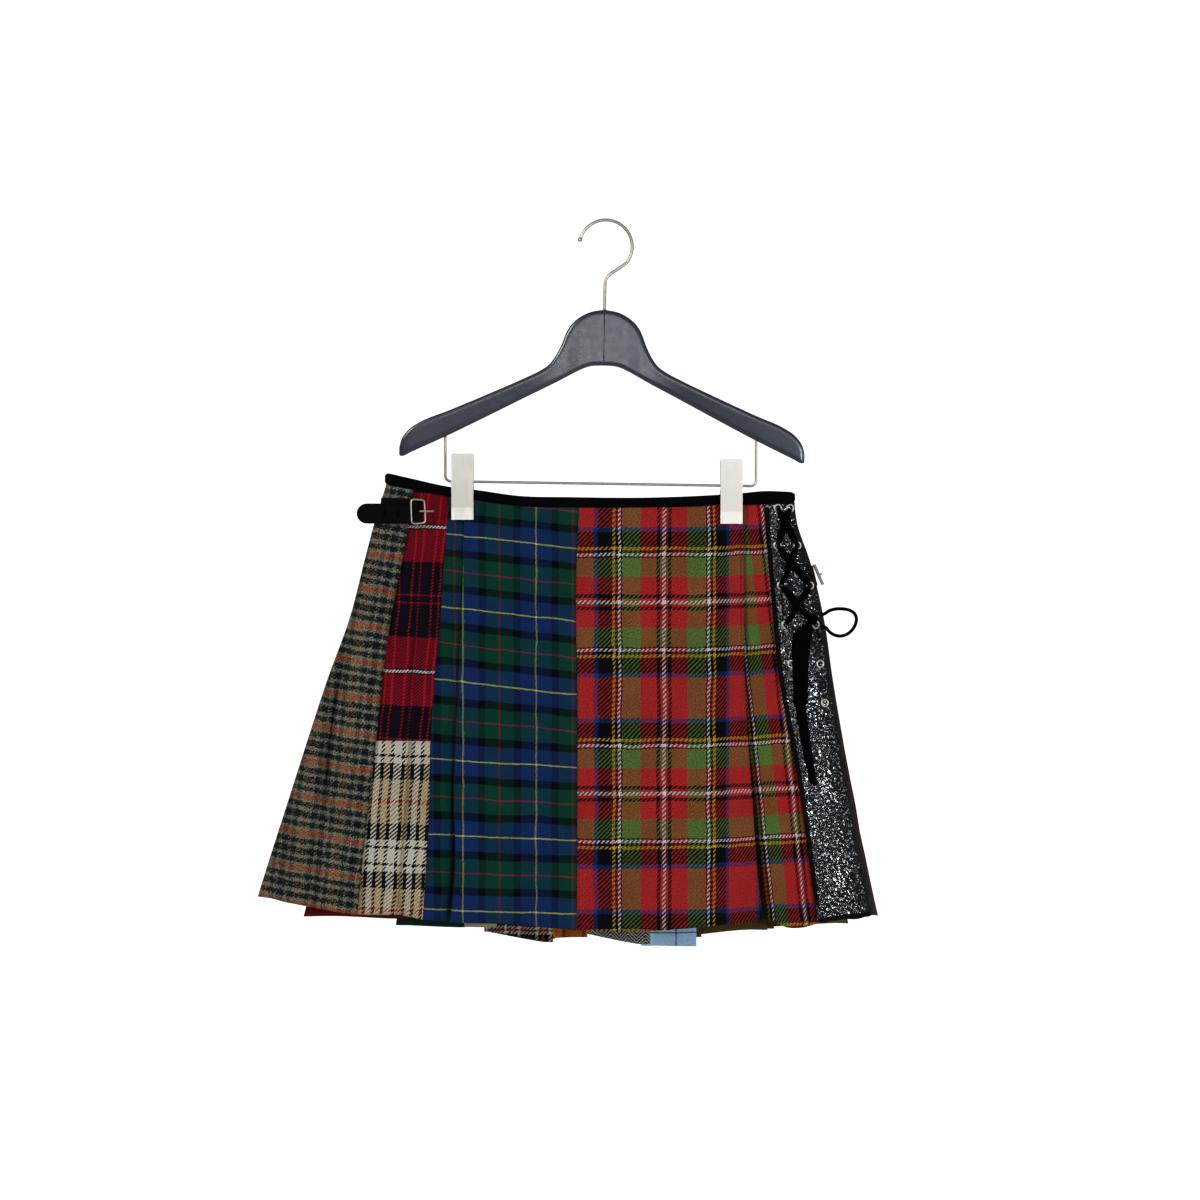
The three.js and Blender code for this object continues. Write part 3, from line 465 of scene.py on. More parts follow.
def woven(name, warp, warp_at, weft, weft_at, pitch=1.2, relief=0.15, nap=0.35, grain=0.22,
          sheen=0.08, cover=0.5, ragged=0.25, soft=0.04, herring=0.0, dull=0.3):
    """Twill wool: warp and weft stripes show by turns along the twill's slanting lines. Pitch is
    the distance between those lines in millimetres of cloth, relief their height, nap and grain
    the height and the mottling of the fibres, cover the share that the weft shows, ragged how far,
    in millimetres, the yarns wander, soft the blur of the lines, herring the width of a
    herringbone's rib, and dull how much darker the cloth is where the lines show."""
    material, tree, shader = new_material(name, Roughness=0.92, Sheen_Weight=sheen,
                                          Sheen_Roughness=0.6, Specular_IOR_Level=0.1)
    uv = put(tree, "ShaderNodeUVMap", {"uv_map": "weave"}).outputs[0]
    # The weave drifts slowly, and each yarn wanders a little at the width of a few threads.
    drift, wander = 3.0, 4 * ragged
    drifted = strayed(tree, uv, flat_noise(tree, uv, 0.03), drift)
    loose = strayed(tree, drifted, flat_noise(tree, uv, 0.45), wander)
    split = put(tree, "ShaderNodeSeparateXYZ", None, Vector=loose)
    u, v = split.outputs[0], split.outputs[1]
    middle = (drift + wander) / 2
    warp_colour = stripes(tree, u, warp_at + middle, warp)
    weft_colour = stripes(tree, v, weft_at + middle, weft)
    along = sum_of(tree, "PINGPONG", u, herring) if herring else u
    lines = sum_of(tree, "DIVIDE", sum_of(tree, "ADD", along, v), pitch)
    slant = sum_of(tree, "PINGPONG", sum_of(tree, "FRACT", lines), 0.5)
    edge = 0.5 * (1 - cover)
    over = remap(tree, slant, max(0, edge - soft), edge + soft, curve="SMOOTHSTEP")
    # Yarns of like lightness blend to one heather; the slanting lines show where they differ.
    tones = [put(tree, "ShaderNodeRGBToBW", None, Color=c).outputs[0]
             for c in (warp_colour, weft_colour)]
    apart = sum_of(tree, "ABSOLUTE", sum_of(tree, "SUBTRACT", *tones))
    alike, unlike = 0.02, 0.09
    shown = remap(tree, apart, alike, unlike, curve="SMOOTHSTEP")
    part = sum_of(tree, "MULTIPLY_ADD", sum_of(tree, "SUBTRACT", over, cover), shown)
    part.node.inputs[2].default_value = cover
    base = put(tree, "ShaderNodeMix", {"data_type": "RGBA"}, s0=part, s6=warp_colour,
               s7=weft_colour).outputs[2]
    # Wool fibres: fine mottling at about a millimetre, and a slow change over the piece.
    fibres = flat_noise(tree, uv, 0.8, 3.0, Roughness=0.7).outputs[0]
    patches = flat_noise(tree, uv, 0.02).outputs[0]
    fine = remap(tree, fibres, 0.3, 0.7, 1 - grain, 1 + grain)
    slow = remap(tree, patches, 0.3, 0.7, 0.93, 1.07)
    hatched = remap(tree, apart, alike, unlike, 1.0, 1 - dull)
    tone = sum_of(tree, "MULTIPLY", sum_of(tree, "MULTIPLY", fine, slow), hatched)
    toned = put(tree, "ShaderNodeVectorMath", {"operation": "SCALE"}, s0=base, Scale=tone)
    tree.links.new(toned.outputs[0], shader.inputs["Base Color"])
    height = sum_of(tree, "ADD", sum_of(tree, "MULTIPLY", over, 0.5),
                    sum_of(tree, "MULTIPLY", fibres, nap))
    raised(tree, shader, height, 0.8, relief)
    return material


def plain(name, shade, **look):
    """Cloth of one colour."""
    return woven(name, [(50, shade)], 0, [(50, shade)], 0, **look)


def crinkled_leather():
    """Black lambskin, finished glossy and crushed, so that it glitters in fine wrinkles."""
    material, tree, shader = new_material("Crinkled black leather", Roughness=0.15, Coat_Weight=0.5,
                                          Coat_Roughness=0.05, Specular_IOR_Level=0.6)
    shader.inputs["Base Color"].default_value = settings().leather_colour
    uv = put(tree, "ShaderNodeUVMap", {"uv_map": "weave"}).outputs[0]
    bent = strayed(tree, uv, flat_noise(tree, uv, 0.16), 5.0)
    # Grain cells of about 3 mm with wrinkles of about 11 mm over them; both fade to half where
    # the hide lies smooth.
    cells = put(tree, "ShaderNodeTexVoronoi",
                {"voronoi_dimensions": "2D", "feature": "SMOOTH_F1"},
                Vector=bent, Scale=0.3, Smoothness=0.3).outputs[0]
    wrinkles = flat_noise(tree, bent, 0.09, 3.0, Roughness=0.6).outputs[0]
    areas = flat_noise(tree, uv, 0.02, 1.0).outputs[0]
    amount = remap(tree, areas, 0.4, 0.6, 0.5, 1.0)
    height = sum_of(tree, "ADD", sum_of(tree, "MULTIPLY", cells, -1.0),
                    sum_of(tree, "MULTIPLY", wrinkles, 2.2))
    raised(tree, shader, sum_of(tree, "MULTIPLY", height, amount), 1.0, 0.6, "Coat Normal")
    return material


def surface(name, shade, roughness, metallic=0.0, coat=0.0, grain=0.0, grain_scale=900.0,
            stretch=(1, 1, 1), shine=0.5):
    """A hard or matt material of one colour, with fine grain in its finish. Grain is the height
    of its relief in millimetres."""
    material, tree, shader = new_material(name, Metallic=metallic, Coat_Weight=coat,
                                          Coat_Roughness=0.28, Specular_IOR_Level=shine)
    shader.inputs["Base Color"].default_value = linear(shade) if isinstance(shade, str) else shade
    place = put(tree, "ShaderNodeTexCoord").outputs["Object"]
    pulled = put(tree, "ShaderNodeVectorMath", {"operation": "MULTIPLY"}, s0=place, s1=stretch)
    noise = put(tree, "ShaderNodeTexNoise", None, Vector=pulled.outputs[0], Scale=grain_scale,
                Detail=3.0).outputs[0]
    rough = remap(tree, noise, 0.3, 0.7, max(0.02, roughness * 0.85), min(1, roughness * 1.15))
    tree.links.new(rough, shader.inputs["Roughness"])
    if grain:
        raised(tree, shader, noise, 0.5, grain)
    return material


MATERIALS = {}


def material_of(key):
    """Makes each material once, when a piece first needs it."""
    if key not in MATERIALS:
        MATERIALS[key] = RECIPES[key]()
    return MATERIALS[key]


# Colours of the yarns, and the bands of the red tartan's half repeat
TWEED, SOOT, MOSS = "#818071", "#090a12", "#3a4a3e"
NAVY = "#090b18"
ECRU, COAL = "#cdc6b8", "#0d0d11"
LINE, BLUE, GREEN, LINE_RED = "#d8d86e", "#183464", "#0a4436", "#b02a3c"
RED, BLACK, WHITE, YELLOW = "#ae2e2e", "#08080b", "#dccfcb", "#d0a220"
RED_BANDS = [
    (1.6, WHITE), (2.5, RED), (3.7, BLACK), (17.1, RED), (19.7, "#60763c"), (1.6, BLACK),
    (3.0, WHITE), (2.9, BLACK), (3.1, YELLOW), (15.3, BLACK), (4.3, "#1b3d7a"), (20.8, RED),
]
# Repeats across the red tartan are a little narrower than those down it.
RED_WARP = [(width * 0.934, shade) for width, shade in RED_BANDS]
WINDOWPANE = [(0.8, "#26365c"), (36, "#b4d6f2"), (0.8, "#26365c")]
OLIVE = [(9, "#6d6526"), (6, "#3c3a1a"), (2, "#b08c2a")]
# A cloth's recipe has its warp bands and where their first mirror line lies, then the same for
# its weft, measured down from the hook.
RECIPES = {
    "tweed": lambda: woven(
        "Checked wool tweed",
        [(2.5, "#86705c"), (3.6, TWEED), (4.6, MOSS), (3.8, TWEED), (3.35, "#2c3236")], 8,
        [(2.6, "#a8582f"), (3.0, TWEED), (5.2, "#141714"), (3.6, TWEED), (3.45, SOOT)], 265.4,
        pitch=3.4, relief=0.45, grain=0.98, ragged=1.3, soft=0.16, cover=0.67, dull=0.2),
    "red_navy": lambda: woven(
        "Red and navy tartan wool",
        [(2.7, "#200c1a"), (1.9, "#cc1a34"), (5.5, "#200c1a")], -185.5,
        [(1.3, "#e4e4e6"), (1.3, "#0b0d1e"), (32, "#a0162c"), (33, NAVY), (1.0, "#b8142a"),
         (3.6, NAVY)], 306.4,
        pitch=3.4, cover=0.6, dull=0.25),
    "camel": lambda: woven(
        "Camel plaid wool",
        [(4, ECRU), (3.4, COAL), (6, "#c4b494"), (3.4, COAL), (3, ECRU)], -190,
        [(7, ECRU), (2.8, COAL), (6, ECRU), (17, "#17171c"), (20, "#ab9674"),
         (1.8, "#a3443a")], 527,
        pitch=4.4, relief=0.3, grain=0.3, dull=0.0),
    "blue_green": lambda: woven(
        "Blue and green tartan wool",
        [(0.8, LINE), (14.5, BLUE), (7, "#050b18"), (13.4, GREEN), (0.8, LINE_RED)], -140.3,
        [(0.7, LINE), (14.2, BLUE), (7.6, "#010206"), (13.3, GREEN), (0.7, LINE_RED)], 327,
        cover=0.64),
    "red_tartan": lambda: woven(
        "Red tartan wool", RED_WARP, 60.5, RED_BANDS, 380.8,
        pitch=4.6, relief=0.35, grain=0.55),
    "leather": crinkled_leather,
    "dark_red": lambda: plain("Dark red wool", "#6a1c20"),
    "bottle_green": lambda: plain("Bottle green wool", "#12352a"),
    "beige_twill": lambda: plain("Beige twill wool", "#b7a98c", pitch=2.2, relief=0.3),
    "dark_plaid": lambda: woven(
        "Dark plaid wool",
        [(8, "#2a2622"), (3, "#c9bfae"), (4, "#0f0e0f"), (1.2, "#a5502c")], 20,
        [(8, "#3a332c"), (4, "#0f0e0f"), (3, "#cdc4b4"), (1.2, "#a5502c")], 700, pitch=3.8),
    "orange": lambda: woven(
        "Orange and black plaid wool",
        [(8, "#a85a26"), (4, "#191512"), (8, "#c06a2c")], -30,
        [(8, "#a85a26"), (5, "#191512"), (7, "#c06a2c")], 700, pitch=1.6),
    "herringbone": lambda: woven(
        "Grey wool herringbone", [(50, "#c2c0ba")], 0, [(50, "#35353a")], 0,
        pitch=3.4, relief=0.4, grain=0.4, herring=9.0),
    "light_blue": lambda: woven(
        "Light blue windowpane wool", WINDOWPANE, 74.5, WINDOWPANE, 718.4, pitch=1.0),
    "olive": lambda: woven("Olive check wool", OLIVE, 0, OLIVE, 700, pitch=1.4),
    "brown": lambda: plain("Brown wool", "#5d4a22"),
    "binding": lambda: plain("Black cotton binding", "#040407", pitch=0.7, relief=0.12,
                             sheen=0.04),
    "strap": lambda: surface("Smooth black leather", settings().leather_colour, 0.55,
                             shine=0.12, grain=0.12, grain_scale=500),
    "lace": lambda: surface("Black cotton braid", settings().lace_colour, 0.95,
                            shine=0.08, grain=0.5, grain_scale=1500),
    "lacquer": lambda: surface("Black satin lacquer", settings().lacquer_colour, 0.34,
                               coat=0.9, shine=1.0, grain=0.02, grain_scale=160),
    "steel": lambda: surface("Brushed steel", settings().steel_colour, 0.38,
                             metallic=1, grain=0.04, stretch=(1, 1, 0.08)),
    "nickel": lambda: surface("Satin nickel", settings().nickel_colour, 0.45,
                              metallic=1, grain_scale=60),
    # A darker copy of the nickel for the right buckle: painted shade where it is seen edge on.
    "nickel_painted_shade": lambda: surface("Nickel in painted shade", "#8d867a", 0.5, metallic=1, grain_scale=60),
    "dark": lambda: surface("Shadow inside a punched hole", "#020203", 0.9),
    "red_thread": lambda: surface("Dark red sewing thread", "#4a1216", 0.8, shine=0.2),
}


# Panels


def seen(x, z):
    """The front cloths stand nearer to a viewer lower down, so patterns taken from the front
    are measured on this slightly larger plane, grown about the middle of the view."""
    middle_x, middle_z, nearer = -3.5, -378.4, 0.0125
    grow = 1 + nearer * share(z)
    return middle_x + (x - middle_x) * grow, middle_z + (z - middle_z) * grow


def tweed_pattern(x, z):
    """Threads that follow the tweed's right edge, with the weft falling to the left."""
    sx, sz = seen(x, z)
    across = sx - EDGE["tweed"](z)
    return across, -sz - 0.165 * across


def level_pattern(x, z):
    """Upright and level threads."""
    sx, sz = seen(x, z)
    return sx, -sz


def narrow_pattern(x, z):
    """Threads that follow the seam on the left of a narrow panel."""
    sx, sz = seen(x, z)
    return sx - EDGE["camel"](z) + EDGE["camel"](-336), -sz - 0.04 * (sx - EDGE["redNavy"](z))


def blue_pattern(x, z):
    """Upright threads whose weft falls to the right, less so lower down."""
    sx, sz = seen(x, z)
    slope = np.interp(-sz, (455, 540, 705), (0.112, 0.062, 0.02))
    return sx, -sz - slope * (sx + 26)


def red_pattern(x, z):
    """Level threads that turn and draw together towards the pleat on the right."""
    sx, sz = seen(x, z)
    return sx + 0.4 * np.maximum(0, sx - 112.5), -sz + 0.05 * np.maximum(0, sx - 96)


def folded_edge(edge, away, ply, under, step=1.1):
    """Stations of a cloth that folds under at an edge and lies there for a width."""
    turn = -2 * away * under
    return [
        {"at": edge, "ply": ply},
        {"at": edge, "nose": 0.45 * away, "ply": ply + step / 2},
        {"at": edge, "ply": ply + step},
        {"at": edge, "shift": -away * under, "ply": ply + step * 1.1, "du": turn},
    ]


def front_panels():
    """The six cloths of the front, from left to right."""
    s = dict
    cloth_panel(
        "tweed_panel_cloth",
        [s(share=-0.8, side=1), s(share=-0.9, side=1), s(share=-0.965, side=1), s(share=-1),
         s(share=-0.965), s(share=-0.9), s(at="left", to="tweed", f=0.5),
         s(at="left", to="tweed", f=0.78, open=2.2), *folded_edge("tweed", 1, 0, 9, 1)],
        material_of("tweed"), "tweed", tweed_pattern, fine=2.6,
        creases=[(-256, -415, -270, -480, 3.4, -6), (-269, -470, -279, -560, 3.2, -9),
                 (-277, -540, -292, -690, 6, -6.5), (-288, -520, -318, -700, 9, 5.0),
                 (-240, -430, -262, -695, 8, 2.6), (-310, -600, -334, -690, 7, -2.0),
                 (-228, -330, -244, -420, 8, 1.6)])
    cloth_panel(
        "red_navy_panel_cloth",
        [s(at="tweed", shift=-7, ply=2.1), s(at="tweed", shift=1, ply=2),
         s(at="camel", shift=-1, ply=1.3, open=-1.6), s(at="camel", shift=2.5, ply=1.5, open=3),
         s(at="redNavy", shift=-SEAM_GAP / 2, ply=1.9)],
        material_of("red_navy"), "red_navy_tartan", narrow_pattern, bottom=PATCH_SEAM, fine=2.6,
        creases=[(-181, -345, -189, -440, 3, -2.4), (-187, -410, -195, -520, 2.6, -7),
                 (-172, -320, -180, -520, 5, 1.8)])
    cloth_panel(
        "camel_patch_left_cloth",
        [s(at="tweed", shift=-7, ply=2.1), s(at="tweed", shift=1, ply=2),
         *folded_edge("camel", 1, 0.7, 7, 1)],
        material_of("camel"), "camel_plaid", narrow_pattern, top=PATCH_SEAM - SEAM_GAP,
        creases=[(-205, -560, -222, -685, 6, 1.2)])
    cloth_panel(
        "camel_patch_right_cloth",
        [s(at="camel", shift=-6, ply=2.9), s(at="camel", shift=3, ply=2.8),
         s(at="redNavy", shift=-SEAM_GAP / 2, ply=1.9)],
        material_of("camel"), "camel_plaid", narrow_pattern, top=PATCH_SEAM - SEAM_GAP,
        creases=[(-186, -560, -192, -690, 5, 1.0)])
    # The pattern skips the cloth that a pleat takes in: twice its depth of 14 mm.
    depth = 14
    taken = 2 * depth
    apron = "apron"
    cloth_panel(
        "blue_green_panel_cloth",
        [s(at="redNavy", shift=SEAM_GAP / 2, ply=1.9, du=-taken),
         s(at=apron, shift=-9, ply=2.2, open=1, du=-taken),
         s(at=apron, shift=-4, ply=2.2, open=9, du=-taken),
         s(at=apron, shift=3, ply=2.2, open=12, du=-taken),
         s(at=apron, shift=depth, ply=2.2, du=-taken),
         s(at=apron, shift=depth, nose=0.45, ply=1.65, du=-taken),
         s(at=apron, shift=depth, ply=1.1, du=-taken),
         s(at=apron, ply=1.1), s(at=apron, nose=-0.45, ply=0.55), s(at=apron),
         *[s(at=apron, to="centre", f=f) for f in (0.07, 0.46, 0.8)], s(at="centre", shift=-0.3)],
        material_of("blue_green"), "blue_green_tartan", blue_pattern,
        creases=[(-98, -420, -101, -700, 22, 2.4), (-60, -480, -58, -700, 16, -1.8),
                 (-128, -360, -134, -690, 9, 1.2), (-150, -540, -158, -690, 4, 1.0)])
    # The pleat's second face carries the pattern's other half; its white line follows the fold.
    pleat, second = "pleat", (65.5, -1.5)
    cloth_panel(
        "red_tartan_panel_cloth",
        [s(at="centre", shift=0.3), *[s(at="centre", to=pleat, f=f) for f in (0.44, 0.72)],
         s(at=pleat), s(at=pleat, nose=0.45, ply=0.55), s(at=pleat, ply=1.1),
         s(at=pleat, shift=-depth, ply=1.1, du=taken),
         s(at=pleat, shift=-depth, nose=-0.45, ply=1.65, du=taken),
         s(at=pleat, shift=-depth, ply=2.2, open=2, du=taken),
         s(at=pleat, shift=-4, ply=2.2, open=27, du=second),
         s(at=pleat, shift=1, ply=2.0, open=25, du=second),
         s(at=pleat, shift=12, ply=1.2, open=7, du=second),
         s(at=pleat, to="leather", f=0.46, ply=1.2, open=4, hem=-703.5, du=second),
         s(at=pleat, to="leather", f=0.76, ply=1.4, open=3, hem=-703.5, du=second),
         s(at="leather", shift=6, ply=1.1, du=second)],
        material_of("red_tartan"), "red_tartan", red_pattern,
        creases=[(22, -400, 18, -700, 20, 2.2), (72, -470, 78, -700, 17, -2.2),
                 (118, -360, 138, -695, 11, 2.0), (98, -520, 108, -700, 8, 1.3),
                 (126, -330, 128, -480, 6, -2.2), (160, -560, 178, -700, 6, -2.0)])


def leather_panel():
    """The crinkled leather at the right side, with its turned and bound edges."""
    s = dict
    cloth_panel(
        "leather_panel_hide",
        [s(at="leather"), s(at="leather", to="right", f=0.28), s(at="leather", to="right", f=0.6),
         s(share=0.93), s(share=0.975), s(share=1, y=-0.6)],
        material_of("leather"), "black_leather", level_pattern, thick=settings().leather, fine=2.5,
        creases=[(207, -415, 212, -470, 3, 1.0), (190, -300, 204, -420, 4, 0.8),
                 (176, -330, 205, -575, 4.5, 2.0), (185, -400, 214, -600, 5, -1.4),
                 (206, -712, 268, -708, 30, 2.6)])
    # The bound edges are smooth beside the crinkled field.
    wide, thick = 4.4, 1.0
    left = [[*front_place(float(EDGE["leather"](z)) + 2.4, z, 1.2), wide]
            for z in np.arange(-286, -697, -6)]
    hem = [[*front_place(x, float(front_hem(x)) + 2.2, 3.6), wide] for x in np.arange(214, 268, 3)]
    for name, route in (("leather_edge_left", left), ("leather_edge_hem", hem)):
        tape(name, route, material_of("strap"), "strap_leather", thick=thick)


def back_panels():
    """Ten pleats of different cloths, each lapping under the next one to its left."""
    # Share of a pleat's width that lies under the next one, and the plies it lies under there
    returned, deepest = 0.25, 2.5
    before = 0
    for i, (name, start, end, hem_start, hem_end, key, slot) in enumerate(BACK_PLEATS):
        span = start - end
        under = span * returned
        if i == 0:
            stations = [dict(share=1, ply=0, nose=0.4, y=0.6), dict(share=0.985, nose=0.2),
                        dict(share=0.94, ply=0.3)]
        else:
            stations = [dict(share=start + 0.7 * before, ply=2.6),
                        dict(share=start - 0.15 * under, ply=deepest)]
        if i == len(BACK_PLEATS) - 1:
            stations += [dict(share=end, ply=1.2), dict(share=-0.84, ply=1.1)]
        else:
            stations += [dict(share=end, ply=0), dict(share=end, ply=0.5, nose=-0.45),
                         dict(share=end, ply=1),
                         dict(share=end + under, ply=1 + deepest * returned)]
        for j, station in enumerate(stations):
            station["side"] = 1
            station["hem"] = hem_start if j < 2 else hem_end
        # Two soft creases run down each pleat. The kilt's half width is about 205 mm at the
        # waist and 310 mm at the hem.
        wide = span * 300
        middle = (start + end) / 2
        upper, lower = middle * 205, middle * 310
        creases = [(upper - 0.1 * wide, -420, lower - 0.1 * wide, -700, 0.22 * wide, 1.6),
                   (upper + 0.2 * wide, -500, lower + 0.25 * wide, -700, 0.14 * wide, -1.2)]
        cloth_panel(name + "_cloth", stations, material_of(key), slot, level_pattern,
                    creases=creases, hung_from="waistband_back")
        before = under


def unit(vectors):
    """Vectors at a length of one."""
    return vectors / np.linalg.norm(vectors, axis=-1, keepdims=True)


def around(count):
    """Angles once around, as cosine and sine."""
    turn = np.linspace(0, 2 * math.pi, count, endpoint=False)
    return [(math.cos(a), math.sin(a)) for a in turn]


def squared(value, power):
    """A cosine or sine drawn out towards the corners of a rounded square."""
    return math.copysign(abs(value) ** power, value)


def sleeve(name, rings, material, slot, *nodes):
    """A closed skin through rings of points, with its pattern map along and round it."""
    rings = np.asarray(rings, float)
    rows, columns = rings.shape[:2]
    faces = grid_faces(rows, columns, closed=True)
    first = range(columns)
    faces += [tuple(first), tuple((rows - 1) * columns + c for c in reversed(first))]
    middles = rings.mean(axis=1)
    u, v = (np.concatenate([[0], np.cumsum(np.linalg.norm(np.diff(line, axis=0), axis=1))])
            for line in (middles, rings[0]))
    uv = np.stack(np.meshgrid(u, v, indexing="ij"), axis=2).reshape(-1, 2)
    piece = object_from(name, rings.reshape(-1, 3), faces, uv)
    return finish_piece(piece, material, slot, *nodes)


def waistband():
    """The bound edge at the waist, front and back, a folded strip with rounded ends."""
    left, right, bend = -218.5, 191.5, 6
    off_middle, half_thick = 4.6, 2.65
    turn = bend * (1 - np.cos(np.linspace(0.25, math.pi / 2, 8)))
    places = (*(turn + left), *np.arange(-210.0, 183.0, 3.0), *(right - turn[::-1]))
    for name, side in (("waistband_front", -1), ("waistband_back", 1)):
        rings = []
        for x in places:
            top, bottom = float(band_top(x)), float(band_bottom(x))
            inside = min(1.0, min(x - left, right - x) / bend)
            end = math.sqrt(1 - (1 - inside) ** 2)
            half, middle = (top - bottom) / 2 * (0.35 + 0.65 * end), (top + bottom) / 2
            rings.append([(x, side * off_middle + squared(c, 0.6) * half_thick * end,
                           middle + squared(s, 0.5) * half) for c, s in around(20)])
        sleeve(name + "_binding", rings, material_of("binding"), "black_binding", name)


# Lacing


def front_place(x, z, lift):
    """A place in front of the kilt's face, by a lift in millimetres."""
    return np.array([x, -float(depth_at(x, z)) - lift, z])


# How far the lace lies in front of the kilt's face, over the leather
LACE_LIFT = 1.4
# Rows of eyelets: height, place of the left one, place of the right one
EYELETS = ((-286.6, 174, 186.5), (-324, 173.4, 193.5), (-364, 176.8, 206.2), (-403, 181.2, 211.5),
           (-442, 187, 216), (-481, 195.5, 220.5))
LACED_ROWS = 4
KNOT = {"x": 209, "z": -397, "wide": 8, "deep": 5, "high": 8.5, "lift": 8.4}
# The lace's free loop: its middle, half width and height, where both ends leave the knot, how
# far it opens, and the lace's thickness where it is rolled round
LOOP = {"x": 235.3, "z": -399.2, "wide": 16.5, "high": 13.6, "exit": 216.5, "apart": 5.6,
        "opens": 148, "thick": 3.4}
# The free end and the bow's other loop, which hangs flat to its left: x, z, width, lift
LACE_END = ((206, -405.9, 7, 7.4), (199, -425, 9, 3), (195.5, -452, 10, 2), (195.5, -480, 10.5, 2),
            (200, -512, 9.5, 1), (205.5, -545, 8, 0.6), (210.3, -563, 3.5, 0.6))
LACE_BOW = ((207, -401, 5, 6.5), (199, -408, 7, 4.8), (192.5, -424, 7.5, 2.8),
            (192, -448, 7.5, 1.4), (192, -470, 7, 1.2), (193.5, -483, 6.5, 1.4),
            (197.5, -482, 6.5, 2.2), (199.5, -468, 7, 3.0), (200, -448, 7.5, 3.6),
            (202, -424, 7, 5.4), (207, -405, 5, 7.6))


def line_through(points, step=2.0):
    """A smooth line through points, a few to each stretch."""
    points = np.asarray(points, float)
    gaps = np.linalg.norm(np.diff(points[:, :3], axis=0), axis=1)
    return rounded_across(points[None], [max(2, math.ceil(gap / step)) for gap in gaps])[0]


def tape(name, route, material, slot, *nodes, thick=1.2):
    """A flat tape along a route of centre points with widths, lying across its way."""
    route = np.asarray(route, float)
    way = unit(np.gradient(route[:, :3], axis=0))
    across = unit(np.cross(way, (0, -1.0, 0)))
    lift = np.cross(across, way)
    section = [(-0.5, -0.2), (-0.35, -0.5), (0, -0.5), (0.35, -0.5), (0.5, -0.2), (0.5, 0.2),
               (0.35, 0.5), (0, 0.6), (-0.35, 0.5), (-0.5, 0.2)]
    rings = [[p[:3] + a * s * p[3] + u * t * thick for s, t in section]
             for p, a, u in zip(route, across, lift)]
    return sleeve(name, rings, material, slot, *nodes)


def round_wire(name, points, diameter, material, slot, *nodes, lean=True, sides=16):
    """A round wire or cord through points that are already close together, leaning with the
    hanger where asked."""
    line = tilted(points) if lean else np.asarray(points, float)
    side = np.array([0, 1.0, 0])
    up = unit(np.cross(unit(np.gradient(line, axis=0)), side))
    rings = [[p + (side * c + u * s) * diameter / 2 for c, s in around(sides)]
             for p, u in zip(line, up)]
    return sleeve(name, rings, material, slot, *nodes)


def lace_loop(lace):
    """The free loop that stands out to the right of the knot."""
    angles = np.radians(np.linspace(LOOP["opens"], -LOOP["opens"], 22))
    y = -float(depth_at(213, -398)) - 10
    points = [(LOOP["exit"], y, LOOP["z"] + LOOP["apart"])]
    for a in angles:
        x = LOOP["x"] + LOOP["wide"] * math.cos(a)
        z = LOOP["z"] + LOOP["high"] * math.sin(a) + 1.5 * math.cos(2 * a)
        points.append((x, y + 2.2 * (x - 219) / 32, z))
    points.append((LOOP["exit"], y, LOOP["z"] - LOOP["apart"]))
    line = line_through(points, 1.4)
    loop = round_wire("lace_loop_cord", line, LOOP["thick"], lace, "lace_cotton", "lace_loop",
                      lean=False, sides=12)


def laid_flat(route, thick=0.0):
    """A route of x, z, width and lift laid over the leather, with half a tape's thickness."""
    return [[*front_place(x, z, LACE_LIFT + lift + thick / 2), wide] for x, z, wide, lift in route]


def lacing():
    """Free cords first, then the crossings, the bow's flat loop and the knot."""
    lace, thick = material_of("lace"), settings().lace / MM
    lace_loop(lace)
    route = line_through(laid_flat(LACE_END, thick), 2.5)
    end = tape("lace_end_cord", route, lace, "lace_cotton", "lace_end", thick=thick)

    # Each end of a crossing climbs out of its eyelet and over the ring: way, lift and width.
    climb = ((1.2, -0.6, 4.4), (2.8, 0.9, 4.8), (5.4, 1.0, 5.8), (9, 0, 6.6))
    for i in range(LACED_ROWS - 1):
        for kind, lift, a, b in (("under", 0, 2, 1), ("over", 1.5, 1, 2)):
            z0, z1 = EYELETS[i][0], EYELETS[i + 1][0]
            x0, x1 = EYELETS[i][a], EYELETS[i + 1][b]
            long = math.hypot(x1 - x0, z1 - z0)
            descent = [(long - off, rise, wide) for off, rise, wide in reversed(climb)]
            route = [(x0 + (x1 - x0) * off / long, z0 + (z1 - z0) * off / long, wide, lift + rise)
                     for off, rise, wide in (*climb, (long / 2, 0, 7), *descent)]
            tape(f"lace_{kind}_{i + 1}_braid", line_through(laid_flat(route, thick)), lace,
                 "lace_cotton", f"lace_{kind}_{i + 1}", thick=thick)
    tape("lace_bow_left", line_through(laid_flat(LACE_BOW), 2.0), lace, "lace_cotton")

    # The knot is a ball with three ridges that wind round it.
    base = front_place(KNOT["x"], KNOT["z"], KNOT["lift"] - 1.2)
    knot = []
    for t in np.linspace(-1, 1, 11):
        r = math.sqrt(max(0.06, 1 - t * t)) ** 0.8
        ring = []
        for a in np.linspace(0, 2 * math.pi, 18, endpoint=False):
            ridge = 1 + 0.1 * math.sin(3 * a + 4 * t)
            ring.append(base + (math.cos(a) * KNOT["wide"] / 2 * r * ridge * 1.15,
                                math.sin(a) * KNOT["deep"] / 2 * r * ridge,
                                t * KNOT["high"] / 2 * 1.1))
        knot.append(ring)
    sleeve("lace_knot_tied", knot, lace, "lace_cotton", "lace_knot")


def places_of(piece):
    """The places of a piece's corners, in millimetres."""
    places = np.zeros(len(piece.data.vertices) * 3)
    piece.data.vertices.foreach_get("co", places)
    return places.reshape(-1, 3) / MM


def set_places(piece, places):
    """Puts a piece's corners at places in millimetres."""
    piece.data.vertices.foreach_set("co", (places * MM).ravel())


